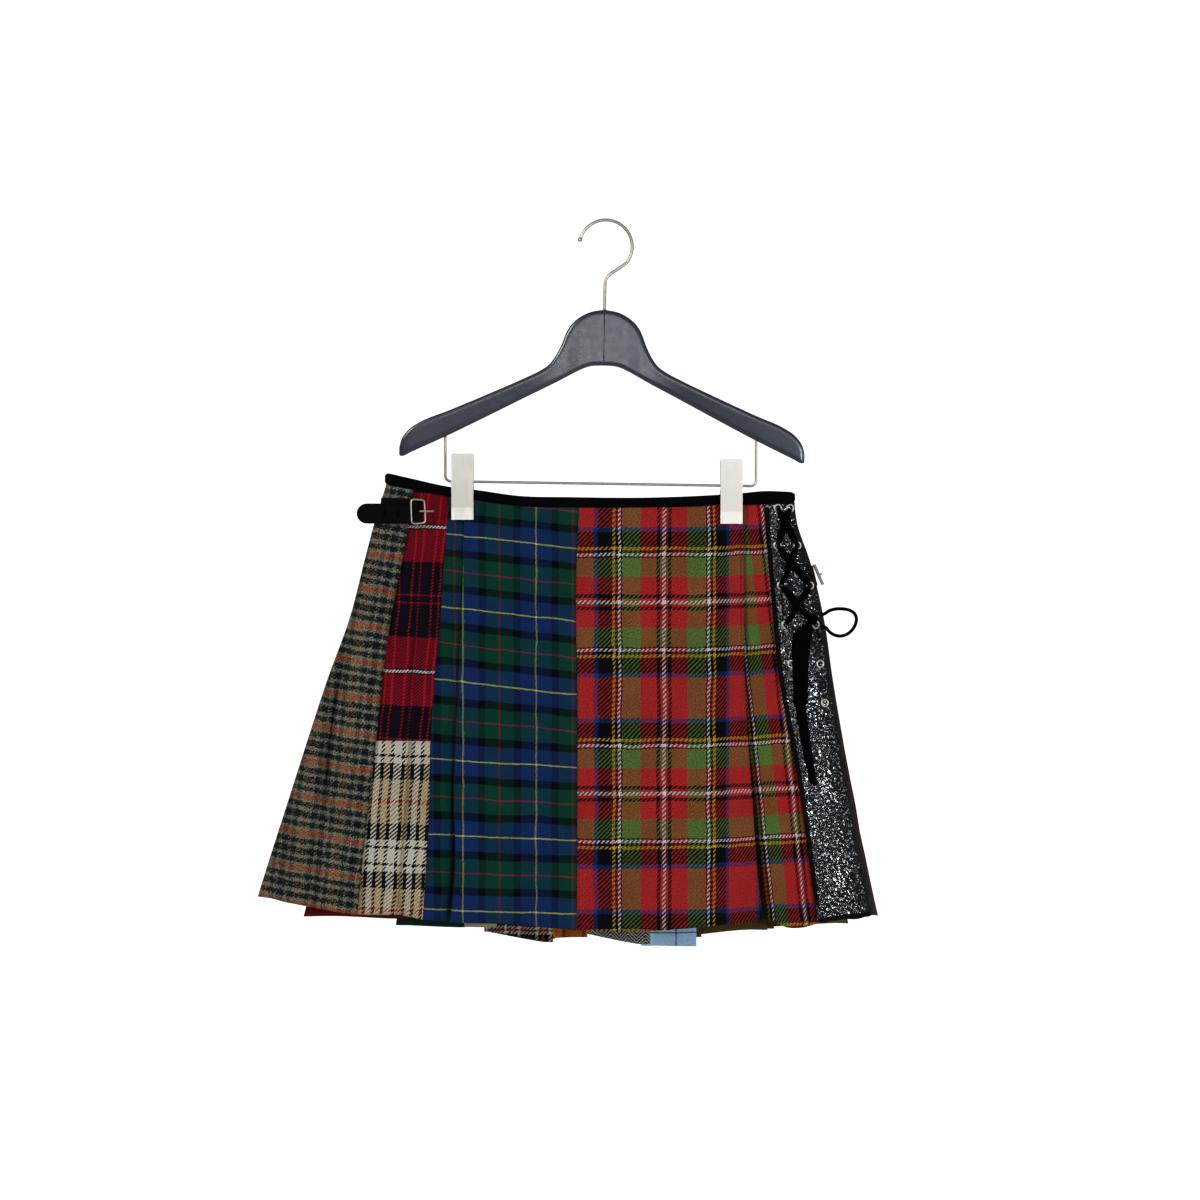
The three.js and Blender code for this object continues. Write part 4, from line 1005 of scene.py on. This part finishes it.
def cut_away(piece, cutter):
    """Cuts a shape out of a piece."""
    bpy.ops.object.transform_apply(location=True, rotation=True, scale=True)
    apply_modifier(piece, "BOOLEAN", operation="DIFFERENCE", object=cutter, solver="EXACT")
    bpy.data.objects.remove(cutter)


def pull(piece, chosen, by):
    """Moves the corners of a piece whose places pass a test, in millimetres."""
    mesh = piece.data
    for parts in (mesh.edges, mesh.polygons):
        parts.foreach_set("select", [False] * len(parts))
    mesh.vertices.foreach_set("select", chosen(places_of(piece)))
    bpy.context.view_layer.objects.active = piece
    bpy.ops.object.mode_set(mode="EDIT")
    bpy.ops.transform.translate(value=[float(b) * MM for b in by])
    bpy.ops.object.mode_set(mode="OBJECT")


def copied(pattern, name, place, turn):
    """A copy of a piece with its own mesh, turned about the upright axis and set at a place."""
    piece = pattern.copy()
    piece.data = pattern.data.copy()
    piece.name = name
    bpy.context.scene.collection.objects.link(piece)
    piece.location, piece.rotation_euler = place * MM, (0, 0, turn)
    activate(piece)
    bpy.ops.object.transform_apply(location=True, rotation=True, scale=True)
    return piece


def eyelets():
    """Rolled metal rings round holes of painted shade, each modelled once and copied."""
    upright = (math.pi / 2, 0, 0)
    radius, roll = settings().eyelet / MM, 1.1
    bpy.ops.mesh.primitive_torus_add(rotation=upright, major_radius=radius * MM,
                                     minor_radius=roll * MM, major_segments=40, minor_segments=12)
    ring = bpy.context.object
    bpy.ops.object.transform_apply(rotation=True)
    bpy.ops.object.shade_smooth()
    # The roll's inner side runs back through the leather as a short barrel.
    pull(ring, lambda p: (np.hypot(p[:, 0], p[:, 2]) < radius - 0.3) & (p[:, 1] > 0.1),
         (0, 0.9, 0))
    # The hole is a near-black disc with a shallow dish in its front: painted shade inside the ring.
    bpy.ops.mesh.primitive_cylinder_add(rotation=upright, radius=2.6 * MM, depth=0.8 * MM)
    hole = bpy.context.object
    bpy.ops.object.transform_apply(rotation=True)
    faces = hole.data.polygons
    faces.foreach_set("select", [face.normal.y < -0.9 for face in faces])
    bpy.context.tool_settings.mesh_select_mode = (False, False, True)
    bpy.ops.object.mode_set(mode="EDIT")
    bpy.ops.mesh.inset(thickness=0.6 * MM)
    bpy.ops.transform.translate(value=(0, 0.3 * MM, 0))
    bpy.ops.object.mode_set(mode="OBJECT")
    bpy.context.tool_settings.mesh_select_mode = (True, False, False)
    lift, behind = 0.75, (0, 0.1, 0)
    for row, (z, left, right) in enumerate(EYELETS, 1):
        for side, x in (("left", left), ("right", right)):
            place = front_place(x, z, lift)
            beyond = front_place(x + 2, z, lift) - front_place(x - 2, z, lift)
            turn = math.atan2(beyond[1], beyond[0])
            name = f"eyelet_{side}_{row}"
            finish_piece(copied(ring, name + "_ring", place, turn), material_of("nickel"),
                         "nickel_wire", name)
            finish_piece(copied(hole, name + "_hole", place + behind, turn),
                         material_of("dark"), None)
    for pattern in (ring, hole):
        bpy.data.objects.remove(pattern)


# Hanger


def dress(material, *nodes):
    """Gives a material to solids that keep their form."""
    for name in nodes:
        node = bpy.data.objects[name]
        if not node.material_slots:
            node.data.materials.append(material)
        for slot in node.material_slots:
            slot.material = material


# Half outline of the hanger's arm: distance out, upper edge, lower edge, thickness
ARM = (
    (0, -88.3, -144.2, 13), (14, -90.8, -145.3, 13), (24, -95.8, -149.3, 13),
    (31, -101.5, -153, 12.5), (36.5, -109.1, -156, 12), (42.6, -124.2, -159.4, 12),
    (48.1, -135.3, -162.3, 12), (54.9, -144.4, -165.8, 12), (63.2, -150.2, -170, 12),
    (78.2, -157.8, -177.7, 12), (112.5, -173.5, -195.5, 12), (153.7, -191.6, -216.4, 12),
    (181.1, -203.1, -229.5, 11), (192, -210, -234.6, 10), (200.3, -220.6, -238.4, 8),
    (202.7, -229, -237.5, 5),
)
# How far the hanger leans to one side, in radians
HANGER_TILT = 0.0185


def tilted(points):
    """Leans the hanger's points about the middle of its lower edge."""
    p = np.asarray(points, float)
    c, s = math.cos(HANGER_TILT), math.sin(HANGER_TILT)
    x, z = p[..., 0], p[..., 2]
    return np.stack([x * c + z * s - ARM[0][2] * s, p[..., 1], z * c - x * s], axis=-1)


def hanger_arms():
    """Both arms in one turned and rounded outline, with the saw cut where the halves meet."""
    out, upper, lower, thick = zip(*ARM)
    top, bottom = (line_through([(x, 0, z) for x, z in zip(out, edge)], 4)
                   for edge in (upper, lower))
    half = np.concatenate([top, bottom[::-1]])
    outline = np.concatenate([half, (half * (-1, 1, 1))[::-1]])
    closest = 0.8
    keep = [outline[0]]
    for point in outline[1:]:
        if np.linalg.norm(point - keep[-1]) > closest:
            keep.append(point)
    if np.linalg.norm(keep[0] - keep[-1]) < closest:
        keep.pop()
    bpy.ops.curve.primitive_bezier_circle_add(location=(0, 0, 0))
    curve = bpy.context.object
    data = curve.data
    data.splines.clear()
    spline = data.splines.new("POLY")
    spline.points.add(len(keep) - 1)
    for target, point in zip(spline.points, keep):
        target.co = (point[0] * MM, point[2] * MM, 0, 1)
    spline.use_cyclic_u = True
    data.dimensions, data.fill_mode = "2D", "BOTH"
    bevel, half_thick = 3.6, 6.5
    data.offset = -bevel * MM
    data.extrude = (half_thick - bevel) * MM
    data.bevel_depth, data.bevel_resolution = bevel * MM, 5
    curve.rotation_euler = (math.pi / 2, 0, 0)
    activate(curve)
    bpy.ops.object.convert(target="MESH")
    bpy.ops.object.transform_apply(location=True, rotation=True, scale=True)
    arms = bpy.context.object
    arms.name = "hanger_arms_turned"
    apply_modifier(arms, "REMESH", mode="VOXEL", voxel_size=1.1 * MM)
    places = places_of(arms)
    away = np.abs(places[:, 0])
    # Along the arms the wood is thicker at its upper edge, so its faces look a little down.
    middle = np.interp(away, out, [(a + b) / 2 for a, b in zip(upper, lower)])
    reach = np.interp(away, out, [(a - b) / 2 for a, b in zip(upper, lower)])
    lean = 0.28 * np.clip((away - 26) / 60, 0, 1)
    places[:, 1] *= (np.interp(away, out, thick) / (2 * half_thick)
                     * (1 + lean * np.clip((places[:, 2] - middle) / reach, -1, 1)))
    set_places(arms, places)
    apply_modifier(arms, "SMOOTH", factor=0.5, iterations=6)
    for side in (-1, 1):
        bpy.ops.mesh.primitive_cube_add(size=1, location=(0, side * half_thick * MM, -117 * MM),
                                        scale=(0.7 * MM, 1.6 * MM, 80 * MM))
        cut_away(arms, bpy.context.object)
    set_places(arms, tilted(places_of(arms)))
    arms.data.update()
    arms.data.polygons.foreach_set("use_smooth", [True] * len(arms.data.polygons))
    finish_piece(arms, material_of("lacquer"), "black_lacquer", "hanger_arm_left",
                 "hanger_arm_right")


def edge_under_arm(x):
    """Height of the hanger's underside at a place across it, a little inside the wood."""
    lower = np.interp(abs(x), [row[0] for row in ARM], [row[2] for row in ARM])
    return float(lower) - HANGER_TILT * x + 1.5


def arc(cx, cz, radius, start, end, count):
    """Points along a part of an upright circle, between angles in degrees."""
    return [(cx + radius * math.cos(a), 0, cz + radius * math.sin(a))
            for a in np.radians(np.linspace(start, end, count))]


def hanger():
    """The arms, the hook with its ball, the clip bar and the clips."""
    nickel = material_of("nickel")
    hanger_arms()
    # The hook is a straight shank, a slanting neck and a little more than half a circle.
    radius, middle = 26.5, -24.9
    shank = [(0, 0, z) for z in np.linspace(-90, -64, 8)]
    joint = arc(0, middle, radius, -36, -36, 1)
    neck = line_through([(0, 0, -64), (0.6, 0, -58.5), (3, 0, -54.6), (13, 0, -47), *joint], 1.2)
    hook = [*shank, *[tuple(p) for p in neck[1:]], *arc(0, middle, radius, -33, 166, 60)]
    round_wire("hanger_hook_wire", hook, settings().hook_wire / MM, nickel, "nickel_wire",
               "hanger_hook")
    tip = tilted([hook[-1]])[0]
    bpy.ops.mesh.primitive_uv_sphere_add(radius=2.3 * MM, segments=24, ring_count=12,
                                         location=tip * MM)
    ball = bpy.context.object
    bpy.ops.object.transform_apply(location=True)
    bpy.ops.object.shade_smooth()
    # The ball draws out into a short collar on the wire.
    back = unit(tilted([hook[-3]])[0] - tip)
    pull(ball, lambda p: (p - tip) @ back > 1.7, back * 0.9)
    ball.name = "hanger_hook_ball"
    finish_piece(ball, nickel, "nickel_wire")
    # The clip bar hangs from both arms, with a bend at each lower corner.
    (x0, z0), (x1, z1), bend = (-158.2, -259.7), (152.5, -264.5), 5.5
    bar = [
        *[(x0, 0, z) for z in np.linspace(edge_under_arm(x0), z0 + bend, 20)],
        *arc(x0 + bend, z0 + bend, bend, 180, 270, 12)[1:],
        *[(x, 0, z0 + (x - x0) / (x1 - x0) * (z1 - z0))
          for x in np.linspace(x0 + bend, x1 - bend, 60)[1:-1]],
        *arc(x1 - bend, z1 + bend, bend, -90, 0, 12),
        *[(x1, 0, z) for z in np.linspace(z1 + bend, edge_under_arm(x1), 20)[1:]],
    ]
    round_wire("clip_bar_wire", bar, settings().bar_wire / MM, nickel, "nickel_wire", "clip_bar",
               lean=False)
    dress(material_of("steel"), *[f"clip_{side}_{part}" for side in ("left", "right")
                                  for part in ("front", "back", "spring")])


def strap_band(name, stations, thick, material, *nodes):
    """A flat leather strap through stations of x, y, z and width, with worn, rounded edges."""
    rings = [[(x, y + squared(c, 0.35) * thick / 2, z + squared(s, 0.25) * wide / 2)
              for c, s in around(24)] for x, y, z, wide in line_through(stations, 1.5)]
    return sleeve(name, rings, material, "strap_leather", *nodes)


def straps():
    """Left strap through its buckle, and right strap with the buckle seen edge on."""
    leather, nickel = material_of("strap"), material_of("nickel")
    end, front, middle, wide, point = -246, -9.5, -292.2, 20, 10
    tip = [(end + point * (1 - math.cos(a)), front, middle, max(2.0, wide * math.sin(a)))
           for a in np.linspace(0.12, math.pi / 2, 9)]
    strap = strap_band(
        "strap_left_leather",
        [*tip, (-222, front, middle, wide), (-200, front - 0.1, middle - 0.2, wide),
         (-182, front, middle - 0.4, wide - 0.4)],
        settings().strap / MM, leather, "strap_left")
    for x in (-218, -204.7, -190.1):
        bpy.ops.mesh.primitive_cylinder_add(radius=1.3 * MM, depth=6 * MM,
                                            rotation=(math.pi / 2, 0, 0),
                                            location=(x * MM, front * MM, -293 * MM))
        cut_away(strap, bpy.context.object)
    strap_band("strap_left_under_leather",
               [(-222, -7.3, -286, 19), (-200, -7.2, -286.6, 19.6), (-181, -7.3, -287.4, 19.6)],
               1.6, leather, "strap_left_under")
    dress(leather, "strap_right")
    # The left buckle's frame is bent from round wire: x and z of each corner, and the angle at
    # which its bend starts.
    bend = 3.0
    frame = []
    for x, z, start in ((-191.8, -278.2, 90), (-191.2, -302.4, 180), (-177.6, -301.8, 270),
                        (-178.4, -278.6, 0)):
        inward = math.radians(start + 45)
        frame += arc(x - math.copysign(bend, math.cos(inward)),
                     z - math.copysign(bend, math.sin(inward)), bend, start, start + 90, 6)
    frame = [(x, -11.4, z) for x, _, z in frame]
    round_wire("buckle_left_frame_wire", line_through([*frame, frame[0]], 1.5), 1.9, nickel,
               "nickel_wire", "buckle_left_frame", lean=False)
    dress(nickel, "buckle_left_prong")
    # The right buckle is the same nickel, darkened as painted shade where it is seen edge on.
    dress(material_of("nickel_painted_shade"), "buckle_right_frame", "buckle_right_prong")


# Sewing


def stitch_row(name, route, material, slot, every=3.4, long=2.3, thick=0.6):
    """A row of single stitches along a route of points, each a short spindle of thread."""
    route = np.asarray(route, float)
    run = np.concatenate([[0], np.cumsum(np.linalg.norm(np.diff(route, axis=0), axis=1))])
    out = np.array([0, -1.0, 0])
    points, faces = [], []
    for start in np.arange(1, run[-1] - long, every):
        a, b = (np.array([np.interp(s, run, route[:, k]) for k in range(3)])
                for s in (start, start + long))
        side = np.cross(unit(b - a), out)
        base = len(points)
        points += [a, b]
        for t in (0.2, 0.8):
            middle = a + (b - a) * t
            points += [middle + way * thick / 2 for way in (side, out, -side, -out)]
        for k in range(4):
            n = (k + 1) % 4
            near, far = base + 2, base + 6
            faces += [(base, near + n, near + k), (near + k, near + n, far + n, far + k),
                      (base + 1, far + k, far + n)]
    finish_piece(object_from(name, points, faces), material, slot)


def stitches():
    """Rows of stitches that hold the waistband, the pleat, the leather's edge and the strap."""
    black, red = material_of("lace"), material_of("red_thread")
    for name, y in (("stitches_waistband", -7.4), ("stitches_waistband_back", 7.4)):
        band = [(x, y, float(band_bottom(x)) + 1.8) for x in np.arange(-212, 188, 4)]
        stitch_row(name, band, black, "black_binding")
    pleat = [front_place(float(EDGE["pleat"](z)) - 1.6, z, 1.0)
             for z in np.arange(-290, -440, -5)]
    stitch_row("stitches_pleat", pleat, red, "red_tartan")
    left = [front_place(float(EDGE["leather"](z)) + 3.6, z, 1.9)
            for z in np.arange(-288, -695, -6)]
    stitch_row("stitches_leather", left, black, "strap_leather")
    for name, z in (("upper", -283.6), ("lower", -300.9)):
        edge = [(x, -10.6, z - 0.01 * (x + 240)) for x in np.arange(-240, -194, 3)]
        stitch_row("stitches_strap_" + name, edge, black, "strap_leather")


# Stage


def area_light(name, place, aim, size, power, tint):
    """A round lamp at a place in metres, aimed at another; its power is in watts."""
    light = bpy.data.lights.new(name, "AREA")
    light.shape, light.size, light.energy, light.color = "DISK", size, power, tint
    lamp = bpy.data.objects.new(name, light)
    bpy.context.scene.collection.objects.link(lamp)
    lamp.location = place
    lamp.rotation_euler = (Vector(aim) - Vector(place)).to_track_quat("-Z", "Y").to_euler()


WHITE_LIGHT, PALE_BLUE, COOL_WHITE = (1, 1, 1), (0.86, 0.92, 1), (0.95, 0.97, 1)
# Lamps: name, place, aim, size, power and tint
LAMPS = (
    ("key", (-1.7, -1.6, 0.9), (0, 0, -0.45), 0.6, 18, WHITE_LIGHT),
    ("window", (1.36, -2.34, -0.62), (0.22, 0, -0.66), 0.28, 16, PALE_BLUE),
    ("side", (2.5, -1.1, -0.66), (0.26, 0, -0.66), 0.5, 5, PALE_BLUE),
    ("front", (0, -3.3, 0.0), (0, 0, -0.3), 0.85, 7.5, COOL_WHITE),
)


def stage():
    """The camera, the pale room, its floor and its lamps."""
    scene = bpy.context.scene
    camera = bpy.data.objects.new("camera", bpy.data.cameras.new("camera"))
    scene.collection.objects.link(camera)
    camera.location = (-0.0035, -3.0, -0.3784)
    camera.rotation_euler = (math.pi / 2, 0, 0)
    camera.data.lens, camera.data.sensor_width = 90, 36
    scene.camera = camera
    scene.view_settings.view_transform = "Standard"
    scene.view_settings.look = "Medium High Contrast"
    # A white backdrop on the far side, and a darker grey room round the rest of the object
    world = bpy.data.worlds.new("Studio")
    world.use_nodes = True
    tree = world.node_tree
    generated = put(tree, "ShaderNodeTexCoord").outputs["Generated"]
    way = put(tree, "ShaderNodeSeparateXYZ", None, Vector=generated)
    room, backdrop = 0.17, 1.0
    bright = remap(tree, way.outputs[1], 0.82, 0.95, room, backdrop, "SMOOTHSTEP")
    tree.nodes["Background"].inputs[0].default_value = (1, 1, 1, 1)
    tree.links.new(bright, tree.nodes["Background"].inputs[1])
    scene.world = world
    bpy.ops.mesh.primitive_plane_add(size=3, location=(0, 0, -1.35))
    floor = bpy.context.object
    floor.name = "floor"
    floor.data.materials.append(surface("Pale studio floor", "#e6e4e0", 0.8))
    for name, place, aim, size, power, tint in LAMPS:
        area_light(name, place, aim, size, power * settings().light, tint)


# Add-on


class KILT_OT_stage(bpy.types.Operator):
    """Sets the camera, the pale room, its floor and its lamps"""

    bl_idname = "kilt.stage"
    bl_label = "Stage"

    def execute(self, context):
        stage()
        return {"FINISHED"}


class KILT_OT_lacing(bpy.types.Operator):
    """Lays the lace: its free loop and end, the crossings and the knot"""

    bl_idname = "kilt.lacing"
    bl_label = "Lacing"

    def execute(self, context):
        lacing()
        return {"FINISHED"}


class KILT_OT_eyelets(bpy.types.Operator):
    """Sets twelve rolled eyelets in two columns"""

    bl_idname = "kilt.eyelets"
    bl_label = "Eyelets"

    def execute(self, context):
        eyelets()
        return {"FINISHED"}


class KILT_OT_hanger(bpy.types.Operator):
    """Builds the hanger's arms, hook and clip bar and dresses its clips"""

    bl_idname = "kilt.hanger"
    bl_label = "Hanger"

    def execute(self, context):
        hanger()
        return {"FINISHED"}


class KILT_OT_waistband(bpy.types.Operator):
    """Builds the bound edge at the waist, front and back"""

    bl_idname = "kilt.waistband"
    bl_label = "Waistband"

    def execute(self, context):
        waistband()
        return {"FINISHED"}


class KILT_OT_front_panels(bpy.types.Operator):
    """Hangs the six wool cloths of the front"""

    bl_idname = "kilt.front_panels"
    bl_label = "Front panels"

    def execute(self, context):
        front_panels()
        return {"FINISHED"}


class KILT_OT_back_panels(bpy.types.Operator):
    """Hangs the ten pleats of the back"""

    bl_idname = "kilt.back_panels"
    bl_label = "Back pleats"

    def execute(self, context):
        back_panels()
        return {"FINISHED"}


class KILT_OT_leather_panel(bpy.types.Operator):
    """Hangs the crinkled leather panel with its bound edges"""

    bl_idname = "kilt.leather_panel"
    bl_label = "Leather panel"

    def execute(self, context):
        leather_panel()
        return {"FINISHED"}


class KILT_OT_straps(bpy.types.Operator):
    """Fits the two straps and their buckles"""

    bl_idname = "kilt.straps"
    bl_label = "Straps and buckles"

    def execute(self, context):
        straps()
        return {"FINISHED"}


class KILT_OT_stitches(bpy.types.Operator):
    """Sews the visible rows of stitches"""

    bl_idname = "kilt.stitches"
    bl_label = "Stitches"

    def execute(self, context):
        stitches()
        return {"FINISHED"}


OPERATORS = (
    KILT_OT_stage, KILT_OT_lacing, KILT_OT_eyelets, KILT_OT_hanger, KILT_OT_waistband,
    KILT_OT_front_panels, KILT_OT_back_panels, KILT_OT_leather_panel, KILT_OT_straps,
    KILT_OT_stitches,
)


class KILT_PT_sidebar(bpy.types.Panel):
    """Lists the kilt's sizes and colours and the operators that build its pieces"""

    bl_label = "Mini kilt"
    bl_space_type = "VIEW_3D"
    bl_region_type = "UI"
    bl_category = "Kilt"

    def draw(self, context):
        for name in KiltSettings.__annotations__:
            self.layout.prop(context.scene.kilt, name)
        for operator in OPERATORS:
            self.layout.operator(operator.bl_idname)


CLASSES = (KiltSettings, *OPERATORS, KILT_PT_sidebar)


def register():
    """Makes the settings, the operators and the panel known."""
    for each in CLASSES:
        bpy.utils.register_class(each)
    bpy.types.Scene.kilt = bpy.props.PointerProperty(type=KiltSettings)


def unregister():
    """Takes them away again."""
    del bpy.types.Scene.kilt
    for each in reversed(CLASSES):
        bpy.utils.unregister_class(each)


def main():
    """Builds the whole kilt."""
    register()
    bpy.ops.kilt.stage()
    bpy.ops.kilt.lacing()
    bpy.ops.kilt.eyelets()
    bpy.ops.kilt.hanger()
    bpy.ops.kilt.waistband()
    bpy.ops.kilt.front_panels()
    bpy.ops.kilt.back_panels()
    bpy.ops.kilt.leather_panel()
    bpy.ops.kilt.straps()
    bpy.ops.kilt.stitches()


if __name__ == "__main__":
    main()
